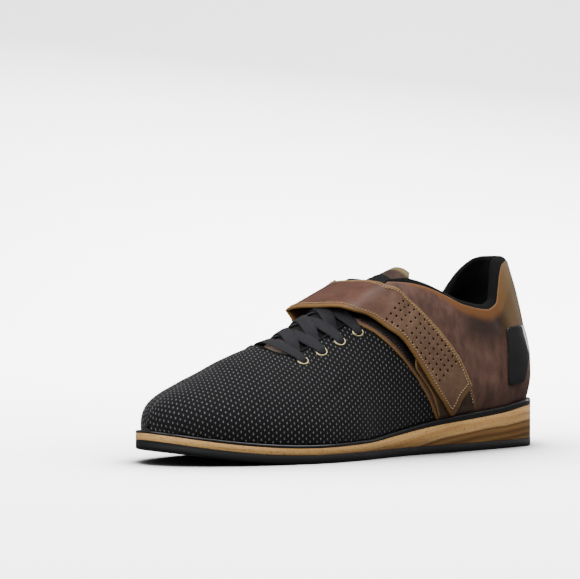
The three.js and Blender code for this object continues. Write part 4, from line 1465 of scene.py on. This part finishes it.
raw_edge = Finish("raw leather edge", "#a87c40", 0.75)
place = raw_edge.place()
fibres = raw_edge.noise(place, 2.2, 4.0)
raw_edge.set("Base Color", raw_edge.ramp(fibres, (0.35, "#5e4830"), (0.7, "#92764c")))
raw_edge.bump(raw_edge.noise(place, 0.5, 3.0), 0.1)

tongue_hide = Finish("tongue leather", "#5c3c28", 0.75)
place = tongue_hide.map_place()
tongue_u = tongue_hide.parts(place)[0]
worn = tongue_hide.noise(place, 9, 4.0, 0.6)
lip = tongue_hide.span(tongue_hide.maths("MULTIPLY_ADD", worn, 5.0, tongue_u), 9.0, 5.0)
hide = tongue_hide.ramp(worn, (0.35, "#38251a"), (0.7, "#543a2a"))
# Painted shade: from 30 to 48 mm along, the tongue turns near black for the shade under the laces, until its
# pale front.
hide = tongue_hide.mix(tongue_hide.span(tongue_u, 30.0, 48.0), hide, "#120f0f")
hide = tongue_hide.mix(tongue_hide.span(tongue_u, 107.0, 113.0), hide, "#cfb2a2")
tongue_hide.set("Base Color", tongue_hide.mix(lip, hide, "#8a7a50"))
leather_grain(tongue_hide, place, 12, 0.06)

backing = Finish("black backing", "#0c0c0e", 0.8, Specular_IOR_Level=0.25)
backing.bump(backing.noise(backing.place(), 0.5, 3.0), 0.1)

# %% Cloths
LACE_TWILL = 0.62
DOT_PITCH = 3.8
ROW_PITCH = 2.45
DOT_HALF_WIDTH = 0.74
DOT_HALF_HEIGHT = 0.43
DOT_LEAN = 0.22
DOT_SQUARENESS = 2.4
DOT_THREAD = 0.42

lining_cloth = Finish("collar cloth", "#08080a", 0.85, Specular_IOR_Level=0.25)
uv = lining_cloth.parts(lining_cloth.map_place())
weft = lining_cloth.maths("SINE", lining_cloth.maths("MULTIPLY", uv[0], 2 * math.pi / 0.9))
warp = lining_cloth.maths("SINE", lining_cloth.maths("MULTIPLY", uv[1], 2 * math.pi / 0.7))
lining_cloth.bump(lining_cloth.maths("MULTIPLY", weft, warp), 0.09)

lace_cloth = Finish("lace twill", "#26262a", 0.8, Specular_IOR_Level=0.3)
uv = lace_cloth.parts(lace_cloth.map_place())
slant = lace_cloth.maths("ADD", uv[0], lace_cloth.maths("ABSOLUTE", uv[1]))
twill = lace_cloth.maths("SINE", lace_cloth.maths("MULTIPLY", slant, 2 * math.pi / LACE_TWILL))
thread = lace_cloth.maths("SINE", lace_cloth.maths("MULTIPLY", uv[1], 2 * math.pi / 0.75))
lace_height = lace_cloth.maths("MULTIPLY_ADD", thread, 0.6, twill)
lace_tone = lace_cloth.span(lace_height, -1.4, 1.4)
lace_cloth.set("Base Color", lace_cloth.ramp(lace_tone, (0.1, "#1d1d20"), (0.8, "#434348")))
lace_cloth.bump(lace_height, 0.08)

label_cloth = Finish("woven label", "#0b0b0d", 0.7, Specular_IOR_Level=0.3)
uv = label_cloth.parts(label_cloth.map_place())
label_cloth.bump(label_cloth.maths("SINE", label_cloth.maths("MULTIPLY", uv[0], 2 * math.pi / 0.5)), 0.05)

textile = Finish("dotted textile", "#101012", 0.75, Specular_IOR_Level=0.25, Sheen_Weight=0.18,
                 Sheen_Roughness=0.4)
uv = textile.parts(textile.map_place())
row_value = textile.maths("MULTIPLY", uv[1], 1 / ROW_PITCH)
row_part = textile.maths("FRACT", row_value)
row_index = textile.maths("FLOOR", row_value)
odd = textile.maths("MULTIPLY", textile.maths("MODULO", textile.maths("ADD", row_index, 1000.0), 2.0), 0.5)
along_value = textile.maths("ADD", textile.maths("MULTIPLY", uv[0], 1 / DOT_PITCH), odd)
along_part = textile.maths("FRACT", along_value)
from_row = textile.maths("SUBTRACT", row_part, 0.5)
from_dot = textile.maths("SUBTRACT", along_part, 0.5)
leaning = textile.maths("MULTIPLY_ADD", from_row, DOT_LEAN, from_dot)
across_dot = textile.maths("MULTIPLY", leaning, DOT_PITCH / DOT_HALF_WIDTH)
tall_dot = textile.maths("MULTIPLY", from_row, ROW_PITCH / DOT_HALF_HEIGHT)
reach = textile.maths("ADD", textile.maths("POWER", textile.maths("ABSOLUTE", across_dot), DOT_SQUARENESS),
                      textile.maths("POWER", textile.maths("ABSOLUTE", tall_dot), DOT_SQUARENESS))
dot = textile.span(reach, 1.25, 0.6)
rib = textile.maths("SINE", textile.maths("MULTIPLY", uv[1], 2 * math.pi / DOT_THREAD))
ground = textile.noise(textile.place(), 1.2, 3.0)
ground_tone = textile.ramp(ground, (0.3, "#09090a"), (0.7, "#111113"))
dot_tone = textile.mix(textile.span(rib, -1.0, 1.0), "#58585e", "#86868c")
textile.set("Base Color", textile.mix(dot, ground_tone, dot_tone))
textile.set("Roughness", textile.span(dot, 0.0, 1.0, 0.8, 0.6))
ribbed_dot = textile.maths("MULTIPLY", textile.maths("MULTIPLY", rib, dot), 0.2)
dot_height = textile.maths("MULTIPLY_ADD", dot, 1.0, ribbed_dot)
textile.bump(dot_height, 0.28)

binding = Finish("slot binding", "#0e0e10", 0.7, Specular_IOR_Level=0.3)
binding.bump(binding.noise(binding.place(), 0.5, 2.0), 0.08)

thread_dark = Finish("dark thread", "#4a3626", 0.7)
thread_tan = Finish("tan thread", "#c3a374", 0.7)
for thread_finish, dark, light in ((thread_dark, "#3c2b1e", "#5a4330"), (thread_tan, "#ac8c60", "#d4b688")):
    uneven = thread_finish.noise(thread_finish.place(), 1.6, 3.0)
    thread_finish.set("Base Color", thread_finish.ramp(uneven, (0.35, dark), (0.7, light)))

# %% Rubber, wood, brass and plastic
rubber_side = Finish("rubber side", "#151517", 0.6, Specular_IOR_Level=0.25)
rubber_side.bump(rubber_side.noise(rubber_side.place(), 1.4, 4.0), 0.05)
rubber_tread = Finish("rubber tread", "#19191b", 0.55)
pebbles = rubber_tread.cells(rubber_tread.place(), 1.1, "SMOOTH_F1")
rubber_tread.bump(pebbles, 0.3)

rand_rubber = Finish("rand rubber", "#0f0f11", 0.32, Coat_Weight=0.5, Coat_Roughness=0.12)
rand_rubber.bump(rand_rubber.noise(rand_rubber.place(), 2.2, 4.0), 0.05)

wood = Finish("bent wood", "#a98350", 0.5)
uv = wood.parts(wood.map_place())
wander = wood.noise(wood.stretch(wood.map_place(), (0.03, 0.1, 1.0)), 1.0, 3.0)
layer = wood.maths("MULTIPLY_ADD", wander, 2.4, uv[1])
bands = wood.ramp(
    wood.span(layer, -20.0, 4.0, kind="LINEAR"),
    (0.0, "#bb8a52"), (0.1, "#d6a868"), (0.16, "#93683e"), (0.24, "#d09f5f"), (0.34, "#855e38"),
    (0.44, "#c2915a"), (0.52, "#75502c"), (0.575, "#f8c985"), (0.66, "#e6b373"), (0.76, "#d8a262"),
    (0.84, "#f4c27c"), (1.0, "#e9b671"))
long_grain = wood.node("ShaderNodeCombineXYZ", X=wood.maths("MULTIPLY", uv[0], 0.02),
                       Y=wood.maths("MULTIPLY", layer, 1.1), Z=0.0)
fine = wood.node("ShaderNodeTexNoise", Vector=long_grain, Scale=1.0, Detail=5.0, Roughness=0.62)
short_grain = wood.node("ShaderNodeCombineXYZ", X=wood.maths("MULTIPLY", uv[0], 0.5),
                        Y=wood.maths("MULTIPLY", uv[1], 1.7), Z=0.0)
pore = wood.node("ShaderNodeTexNoise", Vector=short_grain, Scale=1.0, Detail=3.0, Roughness=0.6)
bands = wood.mix(wood.maths("MULTIPLY", wood.span(fine, 0.48, 0.66), 0.62), bands, "#966c42")
wood.set("Base Color", wood.mix(wood.maths("MULTIPLY", wood.span(pore, 0.5, 0.64), 0.62), bands, "#a3784a"))
wood.set("Roughness", 0.5)
wood.set("Specular IOR Level", 0.3)
wood.bump(pore, 0.04)

brass = Finish("antique brass", "#cdbd90", 0.32, Metallic=1.0)
brass.set("Roughness", brass.span(brass.noise(brass.place(), 3, 3.0), 0.3, 0.7, 0.24, 0.4))
plate = Finish("heel plate", "#131315", 0.16, Coat_Weight=0.4, Coat_Roughness=0.08)
smear = plate.noise(plate.place(), 5, 4.0)
plate.set("Roughness", plate.span(smear, 0.3, 0.7, 0.12, 0.26))
plate.bump(smear, 0.05)
print("finishes:", len(bpy.data.materials))

# %% [markdown]
# ## Put the shoe together
# Each piece takes its finishes and stands for the solids that it covers.

# %% Sole pieces
keep(sole_layer("rubber_outsole", outsole_rows, [1] + [0] * (len(outsole_rows) - 2)), "rubber", ["outsole"],
     [rubber_side.material, rubber_tread.material])
for name, rows, slot, node, finish in (
        ("wooden_wedge", wedge_rows, "wood", "midsole", wood),
        ("rubber_rand", rand_rows, "rubber", "rand", rand_rubber),
        ("insole_board", insole_rows, "lining", "insole", lining_cloth)):
    keep(sole_layer(name, rows, [0] * (len(rows) - 1)), slot, [node], [finish.material])

# %% Upper pieces
VAMP_THICKNESS = 1.3
BINDING_BACK = 0.48
BINDING_RADIUS = 0.85
BINDING_OUT = 0.1
DISC_RADIUS = 2.9
QUARTER_THICKNESS = 1.4
LEATHER_SLOTS = [raw_edge.material, backing.material]

vamp = make_vamp()
unfold(vamp)
wall = vamp.modifiers.new("wall", "SOLIDIFY")
wall.thickness = VAMP_THICKNESS * MM
wall.offset = -1
keep(vamp, "upper", ["upper"], [textile.material])

edges = []
for side in (1.0, -1.0):
    stations = vamp_stations()
    base = side_edge(stations, side, 0.0)
    open_part = (throat_half(base[:, 0]) > 0) & (share_of(stations) > BINDING_BACK)
    around = around_at_side(stations, side, throat_half(base[:, 0]), 0.0)
    line = last_point(stations, side, around, -BINDING_OUT)[open_part]
    edges.append(line if side > 0 else line[::-1])
keep(tube("slot_binding", np.concatenate(edges), BINDING_RADIUS), "lining", [], [binding.material])

distances = {"below": height_below_top(quarter_outer), "edge": edge_distance(quarter_outer, (0, 1))}
quarters = sheet("leather_quarters", quarter_outer, QUARTER_THICKNESS, floats=distances,
                 uv=np.stack([arc_lengths(quarter_outer, 0), arc_lengths(quarter_outer, 1)], axis=-1))
keep(quarters, "upper", ["upper"], [quarter_leather.material] + LEATHER_SLOTS)
keep(make_lining(), "lining", ["upper"], [lining_cloth.material] * 3)

# %% Tongue, laces and eyelets
keep(make_tongue(), "tongue", ["tongue"], [tongue_hide.material] + LEATHER_SLOTS)
keep(make_label(), "label", ["tongue_label"], [label_cloth.material] * 3)
keep(make_laces(), "lace", ["laces"], [lace_cloth.material])
places, normals = eyelet_frames()
# Painted shade: a black disc inside each eyelet ring stands for the shade down its hole.
disc = [(0, -0.4), (DISC_RADIUS, -0.4), (DISC_RADIUS, 0.12), (0, 0.12)]
eyelet_shade_discs = lathe_many("eyelet_painted_shade", disc, places, normals, 20, closed_profile=False)
keep(recalculate(eyelet_shade_discs, merge=0.01), "lining", [], [backing.material])
eyelet_nodes = [f"eyelet_{side}_{pair}" for side in ("lateral", "medial") for pair in range(1, 5)]
keep(make_eyelets(), "brass", eyelet_nodes, [brass.material])

# %% Strap, pad, plate and seams
strap = keep(make_strap(), "strap", ["strap"], [strap_leather.material] + LEATHER_SLOTS)
perforate(strap)
keep(make_pad(), "pad", ["strap_pad"], [pad_leather.material] + LEATHER_SLOTS)
keep(make_patch(), "patch", ["heel_patch"], [plate.material] * 3)
keep(stitch_piece("strap_stitches", strap_seams()), "strap", [], [thread_tan.material])
keep(stitch_piece("quarter_stitches", quarter_seams()), "upper", [], [thread_dark.material])
keep(stitch_piece("pad_stitches", pad_seams()), "pad", [], [thread_tan.material])

# %% [markdown]
# ## Studio
# A pale floor sweeps up into the backdrop. Soft lamps above, in front and at the side light the shoe,
# and a narrow one behind the heel draws the pale line down the right-hand edge. Two more lamps light
# only the paper, which also darkens by itself where the shoe hides the sky from it.

# %% Floor, lamps and sky
PAPER_GLOW = 0.1
SKY = 0.3
SKY_BELOW = 0.14
SKY_RISE = (-0.25, 0.35)
SHADE_REACH = 0.22
SHADE_POWER = 3.0
PAPER_NEAR = 1.6
PAPER_BACK = 0.9
PAPER_CURVE = 1.0
PAPER_TOP = 3.2
PAPER_HALF = 3.5
floor_paper = Finish("floor paper", "#e9e9e9", 0.9, Emission_Strength=PAPER_GLOW)
floor_paper.set("Emission Color", colour("#ffffff"))
open_sky = floor_paper.node("ShaderNodeAmbientOcclusion", 1, settings={"samples": 8}, Distance=SHADE_REACH)
shade = floor_paper.maths("POWER", open_sky, SHADE_POWER)
floor_paper.set("Base Color", floor_paper.mix(shade, "#000000", "#e9e9e9"))
floor_paper.set("Emission Strength", floor_paper.maths("MULTIPLY", shade, PAPER_GLOW))
profile = [(PAPER_NEAR, 0.0), (-PAPER_BACK, 0.0)]
for t in np.linspace(0, np.pi / 2, 14)[1:]:
    profile.append((-PAPER_BACK - PAPER_CURVE * np.sin(t), PAPER_CURVE - PAPER_CURVE * np.cos(t)))
profile.append((-PAPER_BACK - PAPER_CURVE, PAPER_TOP))
level = Vector((back.x, back.y, 0)).normalized()
sweep_points = []
for away, height in profile:
    for across in (-PAPER_HALF, PAPER_HALF):
        flat = float(away) * level + across * right
        sweep_points.append([flat.x / MM, flat.y / MM, height / MM])
paper = new_mesh("studio_paper", np.array(sweep_points), grid_faces(len(profile), 2))
paper.data.materials.append(floor_paper.material)
paper.visible_diffuse = False
paper.visible_glossy = False


def soft_lamp(name, place, size, watts):
    """An area lamp at a place given as right, up and towards the camera, aimed at the shoe."""
    data = bpy.data.lights.new(name, "AREA")
    data.shape = "RECTANGLE"
    data.size, data.size_y = size
    data.energy = watts
    lamp = bpy.data.objects.new(name, data)
    scene.collection.objects.link(lamp)
    lamp.location = place[0] * right + place[1] * Vector((0, 0, 1)) + place[2] * level
    lamp.rotation_euler = (Vector((0, 0, 0.05)) - lamp.location).to_track_quat("-Z", "Y").to_euler()
    return lamp


soft_lamp("top", (0.6, 1.65, -0.1), (1.2, 0.9), 19)
soft_lamp("key", (-0.5, 1.3, 1.3), (1.2, 0.9), 22)
soft_lamp("rim", (1.5, 0.6, -1.4), (0.3, 0.9), 5)
soft_lamp("side", (-1.5, 0.6, 0.6), (0.9, 0.9), 8)
only_paper = bpy.data.collections.new("lit by the paper lamps")
only_paper.objects.link(paper)
for paper_lamp in (soft_lamp("paper above", (-0.1, 2.2, -0.2), (1.1, 1.1), 210),
                   soft_lamp("paper behind", (0.2, 0.85, -1.3), (1.6, 0.6), 90)):
    paper_lamp.light_linking.receiver_collection = only_paper

sky = bpy.data.worlds.new("sky")
sky.use_nodes = True
sky.node_tree.nodes["Background"].inputs["Color"].default_value = colour("#ffffff")
sky_nodes, sky_links = sky.node_tree.nodes, sky.node_tree.links
way = sky_nodes.new("ShaderNodeTexCoord")
split = sky_nodes.new("ShaderNodeSeparateXYZ")
rise = sky_nodes.new("ShaderNodeMapRange")
for index, value in enumerate((*SKY_RISE, SKY_BELOW, SKY), 1):
    rise.inputs[index].default_value = value
sky_links.new(way.outputs["Generated"], split.inputs[0])
sky_links.new(split.outputs["Z"], rise.inputs[0])
sky_links.new(rise.outputs[0], sky_nodes["Background"].inputs["Strength"])
scene.world = sky
